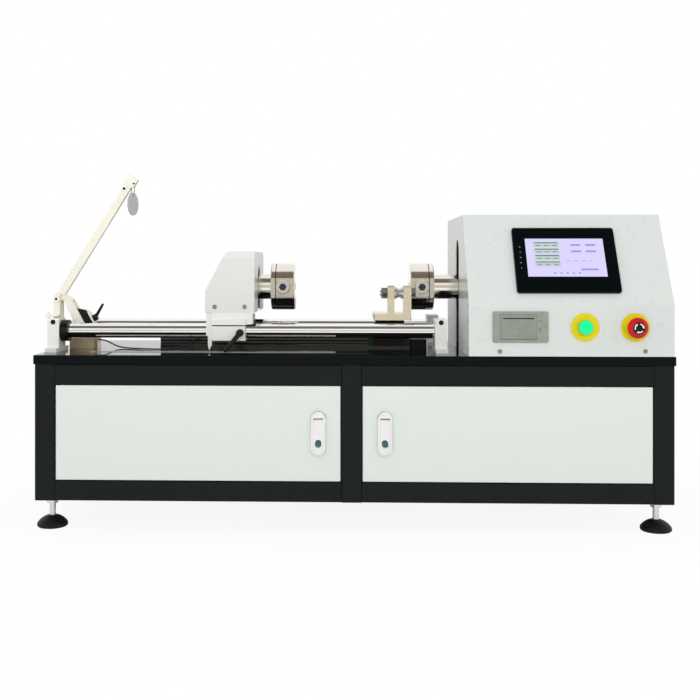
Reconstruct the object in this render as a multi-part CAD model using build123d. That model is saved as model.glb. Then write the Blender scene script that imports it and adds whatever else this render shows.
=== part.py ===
"""Wire torsion testing machine, in millimetres.

It is modelled in the table's frame: X runs along the table from its middle, Y runs back from the table's
front edge, and Z rises from the table's top face. The last lines move every piece to the part's own frame,
whose origin is the middle of the machine's footprint on the floor.
"""
import math
import os

from build123d import *

# Cabinet
TABLE_LENGTH = 1250.0
TABLE_DEPTH = 400.0
TABLE_THICK = 18.0
TABLE_EDGE = 1.0
FRAME_HEIGHT = 268.0
FRAME_INSET = 2.0
TUBE = 40.0
TUBE_WALL = 2.0
TUBE_ROUND = 3.0
SHEET = 1.5
PANEL_SET_BACK = 3.0
CABLE_HOLE = (120.0, 60.0)
CABLE_HOLE_Y = 90.0

# Feet
FOOT_HEIGHT = 56.0
PAD_RADIUS = 30.0
PAD_HEIGHT = 22.0
PAD_RIM = 7.0
STUD_RADIUS = 6.0
FOOT_INSET = 28.0
NUT_FLATS = 19.0
NUT_HEIGHT = 10.0
POST_SOLE = 6.0

# Doors and locks
DOOR_GAP = 1.5
DOOR_THICK = 18.0
DOOR_ROUND = 3.0
PIVOT_INSET = 5.0
PIVOT_RADIUS = 2.5
PIVOT_REACH = 9.0
LOCK_INSET = 45.0
LOCK_WIDTH = 30.0
LOCK_HEIGHT = 88.0
LOCK_PROUD = 4.0
LOCK_BODY = (83.0, 25.0)
LOCK_POCKET = 6.5
HANDLE_WIDTH = 19.0
HANDLE_TOP = 30.0
HANDLE_FOOT = 41.0
HANDLE_THICK = 6.0
HANDLE_PIVOT_RADIUS = 1.5
BUTTON_DROP = 19.0
LOCK_BUTTON_RADIUS = 6.0
LOCK_BUTTON_ROOM = 8.0
CAM_SIZE = (16.0, 46.0, 3.0)

# Headstock hood
HOOD_LEFT = 227.3
HOOD_RIGHT = 621.8
HOOD_DEPTH = 395.0
HOOD_HEIGHT = 279.3
CONSOLE_HEIGHT = 100.0
SLOPE_SETBACK = 100.0
HOOD_SHEET = 2.0
HOOD_BEND = 4.0
SPINDLE_SLOT_WIDTH = 57.0
SPINDLE_SLOT_TOP = 231.0
HOOD_VENT = 110.0
PANEL_VENT = 70.0
VENT_SLIT = 4.0

# Touch panel, measured along the slope from the lower bend
PANEL_X = 423.0
PANEL_UP = 97.3
PANEL_WIDTH = 202.0
PANEL_HEIGHT = 146.0
PANEL_PROUD = 7.0
PANEL_CORNER = 5.0
PANEL_BODY = (190.0, 134.0, 32.0)
SCREEN_SIZE = (154.0, 86.0)
SCREEN_RAISE = 4.0
SCREEN_DEPTH = 1.0

# Printer
PRINTER_X = 326.4
PRINTER_Z = 57.0
PRINTER_WIDTH = 107.0
PRINTER_HEIGHT = 60.0
PRINTER_PROUD = 4.0
PRINTER_BODY = (98.0, 52.0, 54.0)
PRINTER_WALL = 2.0
COVER_LEFT = 287.5
COVER_WIDTH = 70.0
COVER_HEIGHT = 48.0
COVER_BOTTOM = 33.0
COVER_THICK = 3.0
COVER_GAP = 0.4
COVER_PIN_RADIUS = 1.0
FEED_X = 364.0
FEED_Z = 51.3
FEED_SIZE = (4.6, 8.0)
FEED_TRAVEL = 1.5

# Push buttons
START_X = 450.4
STOP_X = 546.6
BUTTON_Z = 56.5
LEGEND_RADIUS = 27.5
LEGEND_THICK = 1.5
BARREL_RADIUS = 11.0
BARREL_DEPTH = 32.0
START_COLLAR_RADIUS = 16.5
START_COLLAR_THICK = 4.0
START_CAP_RADIUS = 13.8
START_CAP_PROUD = 9.0
START_TRAVEL = 3.5
STOP_COLLAR_RADIUS = 15.0
STOP_COLLAR_THICK = 6.0
STOP_STEM_RADIUS = 7.0
STOP_HEAD_RADIUS = 20.0
STOP_HEAD_BACK = 12.5
STOP_REACH = 27.0
BUTTON_CLEARANCE = 0.3

# Spindle line
AXIS_Y = 200.0
AXIS_Z = 131.0
SPINDLE_RADIUS = 26.0
JOURNAL_RADIUS = 25.0
NOSE_RADIUS = 15.0
NOSE_LENGTH = 14.0
WIRE_BORE_RADIUS = 5.0
RUNNING_CLEARANCE = 0.05
JOURNAL_START = 243.0
BEARING_CENTRES = (267.0, 372.0)
BEARING_WIDTH = 20.0
BEARING_OUTER_RADIUS = 45.0
HOUSING_LENGTH = 44.0
HOUSING_RADIUS = 58.0
HOUSING_FOOT = (150.0, 16.0)
GUARD_THICK = 2.0
GUARD_WIDTH = 96.0
GUARD_LOW = 96.0
GUARD_TOP = 240.0
GUARD_HOLE_RADIUS = 29.0

# Chucks
CHUCK_RADIUS = 49.5
CHUCK_LENGTH = 50.0
DRIVE_CHUCK_FACE = 124.5
TAIL_CHUCK_FACE = -119.0
CHUCK_EDGE = 1.5
FLAT_WIDTH = 37.0
RING_GROOVE_AT = 38.5
RING_GROOVE = (2.0, 1.0)
JAW_SLOT_HEIGHT = 16.0
JAW_SLOT_DEPTH = 34.0
JAW_LENGTH = 20.0
JAW_GAP = 3.6
JAW_TRAVEL = 3.0
JAW_CLEARANCE = 0.15
SCREW_BACK = 23.6
SCREW_RADIUS = 8.0
SCREW_HEAD_RADIUS = 15.0
SCREW_HEAD_LENGTH = 10.0
SCREW_SOCKET = 14.0
SCREW_SOCKET_DEPTH = 7.0
SCREW_STANDOFF = 3.2

# Belt drive
SPINDLE_TEETH = 40
MOTOR_TEETH = 20
TOOTH_PITCH = 8.0
TOOTH_DEPTH = 2.0
PULLEY_START = 398.0
PULLEY_WIDTH = 26.0
FLANGE_LIP = 4.0
FLANGE_WIDTH = 2.0
BELT_THICK = 3.0
BELT_CLEARANCE = 0.4
MOTOR_INLET_GAP = 22.0
MOTOR_Z = 62.0
MOTOR_SHAFT_RADIUS = 8.0
BRACKET_GAP = 8.0
SPINDLE_END_GAP = 2.0
SHAFT_REACH = 22.0
BRACKET_THICK = 8.0
BRACKET_SIZE = (110.0, 114.0)
BRACKET_FOOT = 60.0
GEARBOX_RADIUS = 34.0
GEARBOX_LENGTH = 56.0
MOTOR_SIDE = 76.0
MOTOR_LENGTH = 105.0

# Bed
ROD_RADIUS = 15.0
ROD_Z = 42.0
ROD_SPREAD = 95.0
ROD_LEFT = -621.0
ROD_RIGHT = 193.5
SUPPORT_WIDTH = 24.0
SUPPORT_DEPTH = 50.0
SUPPORT_HEIGHT = 67.0
SUPPORT_FOOT_DEPTH = 88.0
SUPPORT_FOOT_THICK = 8.0
SUPPORT_SLIT = 2.0
COLLAR_RADIUS = 22.0
COLLAR_WIDTH = 16.0
RAIL_LEFT = -408.0
RAIL_RIGHT = 126.0
RAIL_WIDTH = 23.0
RAIL_HEIGHT = 22.0
RAIL_WAIST = 3.0
STOP_BLOCK = (34.0, 46.0, 20.0)
RULE_LEFT = -532.0
RULE_LENGTH = 500.0
RULE_WIDTH = 22.0
RULE_THICK = 1.0
RULE_Y = 86.0

# Tailstock
TAIL_BLOCK_LEFT = -284.0
TAIL_BLOCK_LENGTH = 68.5
TAIL_BLOCK_DEPTH = 50.0
TAIL_BLOCK_LOW = 22.6
TAIL_BLOCK_HIGH = 67.6
TAIL_SLIT = 2.6
TAIL_SLIT_Z = 53.6
SLIDE_CLEARANCE = 0.08
CROSS_PLATE_LENGTH = 57.0
CROSS_PLATE_THICK = 12.0
TAIL_HOOD_LEFT = -297.5
TAIL_HOOD_RIGHT = -197.0
TAIL_HOOD_FRONT = 83.0
TAIL_HOOD_LOW = 79.6
TAIL_HOOD_TOP = 205.0
TAIL_HOOD_SHOULDER = 124.6
TAIL_HOOD_TOP_LEFT = -254.6
TAIL_HOOD_CHAMFER = 13.0
TAIL_HOOD_SLOT_TOP = 175.0
SENSOR_LEFT = -265.0
SENSOR_LENGTH = 47.0
SENSOR_RADIUS = 41.0
TAIL_SPINDLE_RADIUS = 27.0
GUSSET_REACH = 15.0
GUSSET_DROP = 23.0
GUSSET_THICK = 7.0
POINTER_WIDTH = 12.0
POINTER_THICK = 3.0
POINTER_TIP_Z = 3.0
POINTER_SHOULDER_Z = 20.0
POINTER_TOP_Z = 96.0
CLAMP_X = -225.5
CLAMP_Z = 39.5
CLAMP_HUB_RADIUS = 7.4
CLAMP_HUB_LENGTH = 13.0
CLAMP_TIP = (-27.0, -27.0, -34.0)
CLAMP_TIP_RADIUS = 4.0
CLAMP_STUD_RADIUS = 4.0

# Roller fork
CARRIAGE_LEFT = 37.0
CARRIAGE_LENGTH = 88.0
CARRIAGE_WIDTH = 48.0
CARRIAGE_TOP = 40.0
CARRIAGE_LOW = 5.0
CARRIAGE_CLEARANCE = 0.4
END_CAP = 10.0
ADAPTER_LEFT = 52.0
ADAPTER_LENGTH = 60.0
FORK_LEFT = 47.5
FORK_LENGTH = 76.5
FORK_FRONT = 118.0
FORK_BACK = 235.0
FORK_LOW = 63.0
FORK_BAR = 13.0
FORK_TOP = 135.0
PRONG_DEPTH = 20.0
LEFT_PRONG = (75.4, 89.4)
RIGHT_PRONG_WIDTH = 16.2
CROSS_BOLT_Z = 119.0
CROSS_BOLT_RADIUS = 7.0
CROSS_NUT_FLATS = 22.0
CROSS_NUT_WIDTH = 13.0
ROLLER_RADIUS = 12.5
ROLLER_SIDE_GAP = 0.6
ROLLER_GROOVE = 4.0

# Preload lever
LEVER_X = -617.0
LEVER_Y = 150.0
LEVER_Z = 106.0
ARM_ANGLE = 58.15
ARM_LENGTH = 282.0
ARM_WIDTH = 16.0
ARM_THICK = 12.0
ARM_ROOT_RADIUS = 9.0
POST_WIDTH = 13.5
POST_OVERALL = 32.0
POST_SLOT = 14.0
POST_SLOT_LOW = 62.0
POST_CLEARANCE = 0.3
POST_HEIGHT = 116.0
PIVOT_BOLT_RADIUS = 4.0
PIVOT_HEAD_RADIUS = 6.5
CRANK_EDGE = 16.0
CRANK_THICK = 13.0
HEAD_LENGTH = 20.0
HEAD_WIDTH = (-11.0, 12.0)
HEAD_THICK = 16.0
NOTCH_WIDTH = 8.0
NOTCH_ALONG = (-8.0, 14.0)
EYE_PIN_RADIUS = 1.6
EYE_PIN_AT = (287.5, 7.0)
DISC_RADIUS = 24.0
DISC_THICK = 2.0
DISC_DROP = 41.0
DISC_TWIST = -15.0
RING_LENGTH = 25.0
RING_WIRE = 1.1
RING_WIDTH = 6.0
DISC_HOLE_INSET = 5.6
DISC_HOLE_RADIUS = 2.2
LINK_PIN = (27.0, -12.0)
LINK_ANGLE = -62.0
LINK_LENGTH = 50.0
LINK_WIDTH = 17.0
LINK_THICK = 6.0
LINK_GAP = 15.0
LINK_PIN_RADIUS = 3.0
LINK_BLOCK = ((13.0, 8.5), (26.5, 24.5), (60.5, 24.5), (67.0, 12.0), (61.0, 0.0))
LINK_STRIP_THICK = 3.0
LINK_STRIP_WIDTH = 20.0
LINK_STRIP_SPAN = (31.0, 60.0)
LINK_HANDLE_AT = 48.0
LINK_HUB_RADIUS = 7.0
LINK_HUB_LENGTH = 9.0
LINK_HANDLE_TIP = (26.0, 16.5)
STOP_SCREW_Y = 125.0
STOP_SCREW_OUT = 8.25
STOP_SCREW_RADIUS = 2.0
STOP_SCREW_SPAN = (52.0, 80.0)
STOP_TAB_Z = 70.0
STOP_TAB_THICK = 3.0
STOP_WASHER_RADIUS = 5.0
LOAD_CELL_LEFT = -598.0
LOAD_CELL_SIZE = (35.0, 46.0, 22.0)
LOAD_CELL_Y = 188.0
PLUG_HOUSING_LENGTH = 23.0
PLUG_CHAMFER = 6.0
CABLE_RADIUS = 1.5
CABLE_ROUTE = (
    (-540.0, 188.0, 17.0),
    (-526.0, 187.0, 16.0),
    (-511.0, 182.0, 9.0),
    (-495.0, 172.0, 3.4),
    (-475.0, 158.0, 1.8),
    (-451.0, 142.0, 1.7),
    (-424.0, 130.0, 1.9),
    (-396.0, 124.0, 1.7),
    (-368.0, 125.0, 2.6),
    (-344.0, 131.0, 8.0),
    (-325.0, 139.0, 20.0),
    (-312.0, 146.0, 35.0),
    (-304.0, 150.0, 51.0),
    (-298.0, 151.0, 66.0),
    (-285.1, 151.0, 73.6),
)

# Power inlet and control units
INLET_X = 560.0
INLET_Z = 52.0
INLET_FLANGE = (32.0, 62.0, 3.0)
INLET_BODY = (27.0, 56.0, 30.0)
INLET_SOCKET = (22.0, 16.0, 14.0)
INLET_DROP = 12.0
ROCKER_RISE = 17.0
ROCKER_SIZE = (19.0, 13.0)
ROCKER_TILT = 8.0
ROCKER_RADIUS = 9.6
DRIVE_UNIT = (62.0, 130.0, 150.0)
DRIVE_UNIT_X = 330.0
FIN_DEPTH = 22.0
FIN_FOOT = 6.0
SUPPLY_UNIT = (112.0, 60.0, 160.0)
SUPPLY_UNIT_X = 450.0
UNIT_BACK = 350.0
FIN_COUNT = 7

# Worked-out places
HALF_LENGTH = TABLE_LENGTH / 2
FRAME_TOP = -TABLE_THICK
FRAME_BOTTOM = FRAME_TOP - FRAME_HEIGHT
FLOOR = FRAME_BOTTOM - FOOT_HEIGHT
FRAME_HALF = HALF_LENGTH - FRAME_INSET
POST_X = FRAME_HALF - TUBE / 2
FRONT_TUBE_Y = FRAME_INSET + TUBE / 2
BACK_TUBE_Y = TABLE_DEPTH - FRAME_INSET - TUBE / 2
OPENING_LOW = FRAME_BOTTOM + TUBE
OPENING_HIGH = FRAME_TOP - TUBE
OPENING_INNER = TUBE / 2
OPENING_OUTER = POST_X - TUBE / 2
DOOR_FACE_Y = FRAME_INSET
DOOR_LOW = OPENING_LOW + DOOR_GAP
DOOR_HIGH = OPENING_HIGH - DOOR_GAP
DOOR_INNER = OPENING_INNER + DOOR_GAP
DOOR_OUTER = OPENING_OUTER - DOOR_GAP
PIVOT_X = DOOR_OUTER - PIVOT_INSET
PIVOT_Y = DOOR_FACE_Y + PIVOT_INSET
LOCK_Z = (DOOR_LOW + DOOR_HIGH) / 2
LOCK_X = OPENING_INNER + LOCK_INSET
LOCK_FACE_Y = DOOR_FACE_Y - LOCK_PROUD
BRACKET_X = PULLEY_START + PULLEY_WIDTH + BRACKET_GAP
SPINDLE_END = BRACKET_X - SPINDLE_END_GAP
MOTOR_Y = HOOD_DEPTH - INLET_BODY[2] - MOTOR_INLET_GAP - MOTOR_SIDE / 2
FRONT_ROD_Y = AXIS_Y - ROD_SPREAD
BACK_ROD_Y = AXIS_Y + ROD_SPREAD
CROSS_PLATE_TOP = TAIL_BLOCK_HIGH + CROSS_PLATE_THICK
TAIL_HOOD_BACK = 2 * AXIS_Y - TAIL_HOOD_FRONT
CHUCK_REAR = DRIVE_CHUCK_FACE + CHUCK_LENGTH
TAIL_CHUCK_REAR = TAIL_CHUCK_FACE - CHUCK_LENGTH
FLAT_Y = AXIS_Y - math.sqrt(CHUCK_RADIUS**2 - (FLAT_WIDTH / 2) ** 2)
SPINDLE_PULLEY_RADIUS = SPINDLE_TEETH * TOOTH_PITCH / (2 * math.pi)
MOTOR_PULLEY_RADIUS = MOTOR_TEETH * TOOTH_PITCH / (2 * math.pi)
HINGE_SIDES = {"left": -1, "right": 1}
STOP_OVERHANG = STOP_SCREW_OUT + STOP_WASHER_RADIUS - (HALF_LENGTH + LEVER_X - POST_WIDTH / 2)

pieces = {}


def block(x, y, z):
    """A box between the low and high ends of each axis."""
    size = [high - low for low, high in (x, y, z)]
    middle = [(high + low) / 2 for low, high in (x, y, z)]
    return Pos(*middle) * Box(*size)


def rod_x(radius, x, y, z):
    """A round bar along X between the two values of x."""
    return Pos((x[0] + x[1]) / 2, y, z) * Rot(0, 90, 0) * Cylinder(radius, x[1] - x[0])


def rod_y(radius, x, y, z):
    """A round bar along Y between the two values of y."""
    return Pos(x, (y[0] + y[1]) / 2, z) * Rot(90, 0, 0) * Cylinder(radius, y[1] - y[0])


def rod_z(radius, x, y, z):
    """A round bar along Z between the two values of z."""
    return Pos(x, y, (z[0] + z[1]) / 2) * Cylinder(radius, z[1] - z[0])


def prism_x(points, x):
    """A (y, z) outline drawn out along X."""
    return side_plate(Polygon(*points, align=None), x)


def prism_y(points, y):
    """An (x, z) outline drawn out along Y."""
    return front_plate(Polygon(*points, align=None), y)


def front_plate(sketch, y):
    """A sketch of (x, z) drawn out along Y between the two values of y."""
    return extrude(Plane.XZ.offset(-y[0]) * sketch, amount=y[1] - y[0], dir=(0, 1, 0))


def side_plate(sketch, x):
    """A sketch of (y, z) drawn out along X between the two values of x."""
    return extrude(Plane.YZ.offset(x[0]) * sketch, amount=x[1] - x[0], dir=(1, 0, 0))


def hexagon_y(flats, x, y, z):
    """A hexagonal prism along Y."""
    outline = Pos(x, z) * RegularPolygon(flats / 2, 6, major_radius=False)
    return front_plate(outline, y)


def hexagon_x(flats, x, y, z):
    """A hexagonal prism along X."""
    outline = Pos(y, z) * RegularPolygon(flats / 2, 6, major_radius=False)
    return side_plate(outline, x)


def group(solids):
    """Separate solids that share one node."""
    return Compound(children=list(solids))


def square_tube(low, high, axis):
    """A square tube with rounded corners, centred between two end points that differ along one axis."""
    length = high[axis] - low[axis]
    section = RectangleRounded(TUBE, TUBE, TUBE_ROUND) - Rectangle(TUBE - 2 * TUBE_WALL, TUBE - 2 * TUBE_WALL)
    normal = [(1, 0, 0), (0, 1, 0), (0, 0, 1)][axis]
    return extrude(Plane(origin=low, z_dir=normal) * section, amount=length)


def cabinet_frame():
    tubes = []
    for x in (-POST_X, 0.0, POST_X):
        for y in (FRONT_TUBE_Y, BACK_TUBE_Y):
            post = square_tube((x, y, FRAME_BOTTOM), (x, y, FRAME_TOP), 2)
            if x:
                inner = TUBE / 2 - TUBE_WALL
                sole = block((x - inner, x + inner), (y - inner, y + inner), (FRAME_BOTTOM, FRAME_BOTTOM + POST_SOLE))
                stud_x, stud_y = foot_place(x, y)
                post = post + sole - rod_z(STUD_RADIUS, stud_x, stud_y, (FRAME_BOTTOM - 1, FRAME_BOTTOM + POST_SOLE + 1))
            tubes.append(post)
    for z in (FRAME_BOTTOM + TUBE / 2, FRAME_TOP - TUBE / 2):
        for y in (FRONT_TUBE_Y, BACK_TUBE_Y):
            for side in (-1, 1):
                ends = sorted((side * OPENING_INNER, side * OPENING_OUTER))
                rail = square_tube((ends[0], y, z), (ends[1], y, z), 0)
                if y == FRONT_TUBE_Y:
                    rail -= rod_z(PIVOT_RADIUS, side * PIVOT_X, PIVOT_Y, (z - TUBE, z + TUBE))
                tubes.append(rail)
        for x in (-POST_X, 0.0, POST_X):
            low_y = FRONT_TUBE_Y + TUBE / 2
            tubes.append(square_tube((x, low_y, z), (x, BACK_TUBE_Y - TUBE / 2, z), 1))
    return tubes


def foot_place(x, y):
    """The stud's place under the corner post at (x, y)."""
    stud_x = math.copysign(HALF_LENGTH - FRAME_INSET - FOOT_INSET, x)
    stud_y = FRAME_INSET + FOOT_INSET if y < TABLE_DEPTH / 2 else TABLE_DEPTH - FRAME_INSET - FOOT_INSET
    return stud_x, stud_y


def feet():
    pads = []
    studs = []
    profile = make_face(
        Polyline((0, 0), (PAD_RADIUS - 2, 0), (PAD_RADIUS, 2), (PAD_RADIUS, PAD_RIM))
        + ThreePointArc((PAD_RADIUS, PAD_RIM), (PAD_RADIUS * 0.72, PAD_HEIGHT * 0.72), (STUD_RADIUS + 3, PAD_HEIGHT))
        + Polyline((STUD_RADIUS + 3, PAD_HEIGHT), (0, PAD_HEIGHT), (0, 0))
    )
    dome = revolve(Plane.XZ * profile, Axis.Z)
    for x in (-POST_X, POST_X):
        for y in (FRONT_TUBE_Y, BACK_TUBE_Y):
            stud_x, stud_y = foot_place(x, y)
            seat = FLOOR + PAD_HEIGHT - 8
            pads.append(Pos(stud_x, stud_y, FLOOR) * dome - rod_z(STUD_RADIUS, stud_x, stud_y, (seat, FLOOR + 60)))
            stud = rod_z(STUD_RADIUS, stud_x, stud_y, (seat, FRAME_BOTTOM + POST_SOLE + 10))
            nut = Pos(stud_x, stud_y, FRAME_BOTTOM - NUT_HEIGHT) * extrude(
                RegularPolygon(NUT_FLATS / 2, 6, major_radius=False) - Circle(STUD_RADIUS), amount=NUT_HEIGHT
            )
            studs += [stud, nut]
    return group(pads), group(studs)


def cabinet_panels():
    low_y = FRONT_TUBE_Y + TUBE / 2
    high_y = BACK_TUBE_Y - TUBE / 2
    outer = FRAME_HALF - PANEL_SET_BACK
    panels = []
    for side in (-1, 1):
        x = sorted((side * (outer - SHEET), side * outer))
        panels.append(block(x, (low_y, high_y), (OPENING_LOW, OPENING_HIGH)))
        ends = sorted((side * OPENING_INNER, side * OPENING_OUTER))
        floor_back = BACK_TUBE_Y
        panels.append(block(ends, (DOOR_FACE_Y + DOOR_THICK + 3, floor_back), (OPENING_LOW, OPENING_LOW + SHEET)))
        back_face = TABLE_DEPTH - FRAME_INSET - PANEL_SET_BACK
        back = block(ends, (back_face - SHEET, back_face), (OPENING_LOW, OPENING_HIGH))
        for row in range(8):
            slot = SlotOverall(PANEL_VENT, VENT_SLIT)
            middle = side * (OPENING_INNER + OPENING_OUTER) / 2
            z = OPENING_LOW + 60 + 10 * row
            back -= front_plate(Pos(middle, z) * slot, (back_face - SHEET - 1, back_face + 1))
        panels.append(back)
    return group(panels)


def door(side):
    """A folded pan, open at the back, pierced for its lock and its two pivots."""
    x = sorted((side * DOOR_INNER, side * DOOR_OUTER))
    back_y = DOOR_FACE_Y + DOOR_THICK
    pan = block(x, (DOOR_FACE_Y, back_y), (DOOR_LOW, DOOR_HIGH))
    pan = fillet(pan.edges().filter_by(Axis.Z).group_by(Axis.Y)[0], DOOR_ROUND)
    hollow = block(
        (x[0] + SHEET, x[1] - SHEET), (DOOR_FACE_Y + SHEET, back_y + 1), (DOOR_LOW + SHEET, DOOR_HIGH - SHEET)
    )
    hollow = fillet(hollow.edges().filter_by(Axis.Z).group_by(Axis.Y)[0], DOOR_ROUND - SHEET)
    pan -= hollow
    pan -= rod_z(PIVOT_RADIUS + RUNNING_CLEARANCE, side * PIVOT_X, PIVOT_Y, (DOOR_LOW - 1, DOOR_HIGH + 1))
    cutout = Pos(side * LOCK_X, LOCK_Z) * SlotOverall(*LOCK_BODY, rotation=90)
    return pan - front_plate(cutout, (DOOR_FACE_Y - 1, DOOR_FACE_Y + SHEET + 1))


def door_pivots():
    pins = []
    for side in (-1, 1):
        for low, high in (
            (OPENING_LOW - TUBE_WALL, OPENING_LOW + PIVOT_REACH),
            (OPENING_HIGH - PIVOT_REACH, OPENING_HIGH + TUBE_WALL),
        ):
            pins.append(rod_z(PIVOT_RADIUS, side * PIVOT_X, PIVOT_Y, (low, high)))
    return pins


def handle_outline(grow):
    """The lever handle's outline seen from the front, about the lock's centre: flat top, round foot."""
    half = HANDLE_WIDTH / 2 + grow
    foot = -HANDLE_FOOT - grow
    top = HANDLE_TOP + grow
    return make_face(
        Polyline((-half, foot + half), (-half, top), (half, top), (half, foot + half))
        + ThreePointArc((half, foot + half), (0, foot), (-half, foot + half))
    )


def lock(side):
    """The flush lock's escutcheon, its body behind the door and the cam that holds the door shut."""
    here = Pos(side * LOCK_X, LOCK_Z)
    body_back = DOOR_FACE_Y + DOOR_THICK
    plate = front_plate(here * SlotOverall(LOCK_HEIGHT, LOCK_WIDTH, rotation=90), (LOCK_FACE_Y, DOOR_FACE_Y))
    plate = chamfer(plate.edges().group_by(Axis.Y)[0], 1)
    body = front_plate(here * SlotOverall(*LOCK_BODY, rotation=90), (DOOR_FACE_Y, body_back))
    shell = plate + body
    shell -= front_plate(here * handle_outline(0.5), (LOCK_FACE_Y - 1, LOCK_FACE_Y + LOCK_POCKET))
    button_z = LOCK_Z - BUTTON_DROP
    shell -= rod_y(LOCK_BUTTON_RADIUS + 0.3, side * LOCK_X, (LOCK_FACE_Y, LOCK_FACE_Y + LOCK_POCKET + 8), button_z)
    pin_y = LOCK_FACE_Y + HANDLE_THICK / 2
    pin_half = HANDLE_WIDTH / 2 + 1.5
    pin = rod_x(
        HANDLE_PIVOT_RADIUS + RUNNING_CLEARANCE,
        (side * LOCK_X - pin_half - 0.2, side * LOCK_X + pin_half + 0.2),
        pin_y,
        LOCK_Z + HANDLE_TOP - HANDLE_THICK / 2,
    )
    shell -= pin
    cam_low = LOCK_Z - CAM_SIZE[0] / 2
    cam = block(
        (side * LOCK_X - CAM_SIZE[0] / 2, side * LOCK_X + CAM_SIZE[0] / 2),
        (body_back, body_back + CAM_SIZE[2]),
        (cam_low, cam_low + CAM_SIZE[1]),
    )
    return group([shell, cam])


def lock_handle(side):
    """The lever that lies in the lock and swings out about a pin near its top end."""
    lever = front_plate(handle_outline(0), (LOCK_FACE_Y - 0.5, LOCK_FACE_Y + HANDLE_THICK))
    top = HANDLE_TOP
    nose = HANDLE_THICK / 2
    lever -= block((-HANDLE_WIDTH, HANDLE_WIDTH), (LOCK_FACE_Y - 2, LOCK_FACE_Y + HANDLE_THICK + 1), (top - nose, top + 1))
    lever += rod_x(nose, (-HANDLE_WIDTH / 2, HANDLE_WIDTH / 2), LOCK_FACE_Y + nose, top - nose)
    lever -= rod_y(LOCK_BUTTON_ROOM, 0, (LOCK_FACE_Y - 2, LOCK_FACE_Y + HANDLE_THICK + 1), -BUTTON_DROP)
    pin_half = HANDLE_WIDTH / 2 + 1.5
    lever += rod_x(HANDLE_PIVOT_RADIUS, (-pin_half, pin_half), LOCK_FACE_Y + nose, top - nose)
    return Pos(side * LOCK_X, 0, LOCK_Z) * lever


def lock_button(side):
    depth = (LOCK_FACE_Y - 1, LOCK_FACE_Y + LOCK_POCKET + 4)
    button = rod_y(LOCK_BUTTON_RADIUS, side * LOCK_X, depth, LOCK_Z - BUTTON_DROP)
    return chamfer(button.edges().group_by(Axis.Y)[0], 1)


def hood_outline(inset):
    """The headstock hood's section, (y, z), drawn in by the sheet's thickness and open at the table."""
    slope = math.atan2(HOOD_HEIGHT - CONSOLE_HEIGHT, SLOPE_SETBACK)
    low = inset / math.tan((math.pi / 2 + slope) / 2)
    high = inset * math.tan(slope / 2)
    foot = -1 if inset else 0
    return (
        (inset, foot),
        (inset, CONSOLE_HEIGHT - low),
        (SLOPE_SETBACK + high, HOOD_HEIGHT - inset),
        (HOOD_DEPTH - inset, HOOD_HEIGHT - inset),
        (HOOD_DEPTH - inset, foot),
    )


def slope_plane():
    """A plane on the console's slope: origin at the touch panel's centre, x to the right, y up the slope."""
    slope = math.atan2(HOOD_HEIGHT - CONSOLE_HEIGHT, SLOPE_SETBACK)
    centre = (PANEL_X, PANEL_UP * math.cos(slope), CONSOLE_HEIGHT + PANEL_UP * math.sin(slope))
    return Plane(origin=centre, x_dir=(1, 0, 0), z_dir=(0, -math.sin(slope), math.cos(slope)))


def headstock_hood():
    shell = prism_x(hood_outline(0), (HOOD_LEFT, HOOD_RIGHT))
    bends = shell.edges().filter_by(Axis.X).filter_by(lambda edge: edge.center().Z > 1)
    shell = fillet(bends, HOOD_BEND)
    inside = prism_x(hood_outline(HOOD_SHEET), (HOOD_LEFT + HOOD_SHEET, HOOD_RIGHT - HOOD_SHEET))
    bends = inside.edges().filter_by(Axis.X).filter_by(lambda edge: edge.center().Z > 1)
    shell -= fillet(bends, HOOD_BEND - HOOD_SHEET)
    half = SPINDLE_SLOT_WIDTH / 2
    slot = make_face(
        Polyline((AXIS_Y - half, SPINDLE_SLOT_TOP - half), (AXIS_Y - half, -1), (AXIS_Y + half, -1),
                 (AXIS_Y + half, SPINDLE_SLOT_TOP - half))
        + ThreePointArc((AXIS_Y + half, SPINDLE_SLOT_TOP - half), (AXIS_Y, SPINDLE_SLOT_TOP),
                        (AXIS_Y - half, SPINDLE_SLOT_TOP - half))
    )
    shell -= side_plate(slot, (HOOD_LEFT - 1, HOOD_LEFT + HOOD_SHEET + 1))
    window = slope_plane() * Rectangle(PANEL_BODY[0], PANEL_BODY[1])
    shell -= extrude(window, amount=2 * HOOD_SHEET, both=True)
    printer_hole = Pos(PRINTER_X, PRINTER_Z) * Rectangle(PRINTER_BODY[0], PRINTER_BODY[1])
    shell -= front_plate(printer_hole, (-1, HOOD_SHEET + 1))
    for x in (START_X, STOP_X):
        shell -= rod_y(BARREL_RADIUS, x, (-1, HOOD_SHEET + 1), BUTTON_Z)
    inlet_hole = Pos(INLET_X, INLET_Z) * Rectangle(INLET_BODY[0], INLET_BODY[1])
    shell -= front_plate(inlet_hole, (HOOD_DEPTH - HOOD_SHEET - 1, HOOD_DEPTH + 1))
    for row in range(10):
        z = HOOD_HEIGHT - 60 - 10 * row
        vent = Pos((HOOD_LEFT + HOOD_RIGHT) / 2, z) * SlotOverall(HOOD_VENT, VENT_SLIT)
        shell -= front_plate(vent, (HOOD_DEPTH - HOOD_SHEET - 1, HOOD_DEPTH + 1))
    return shell


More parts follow.
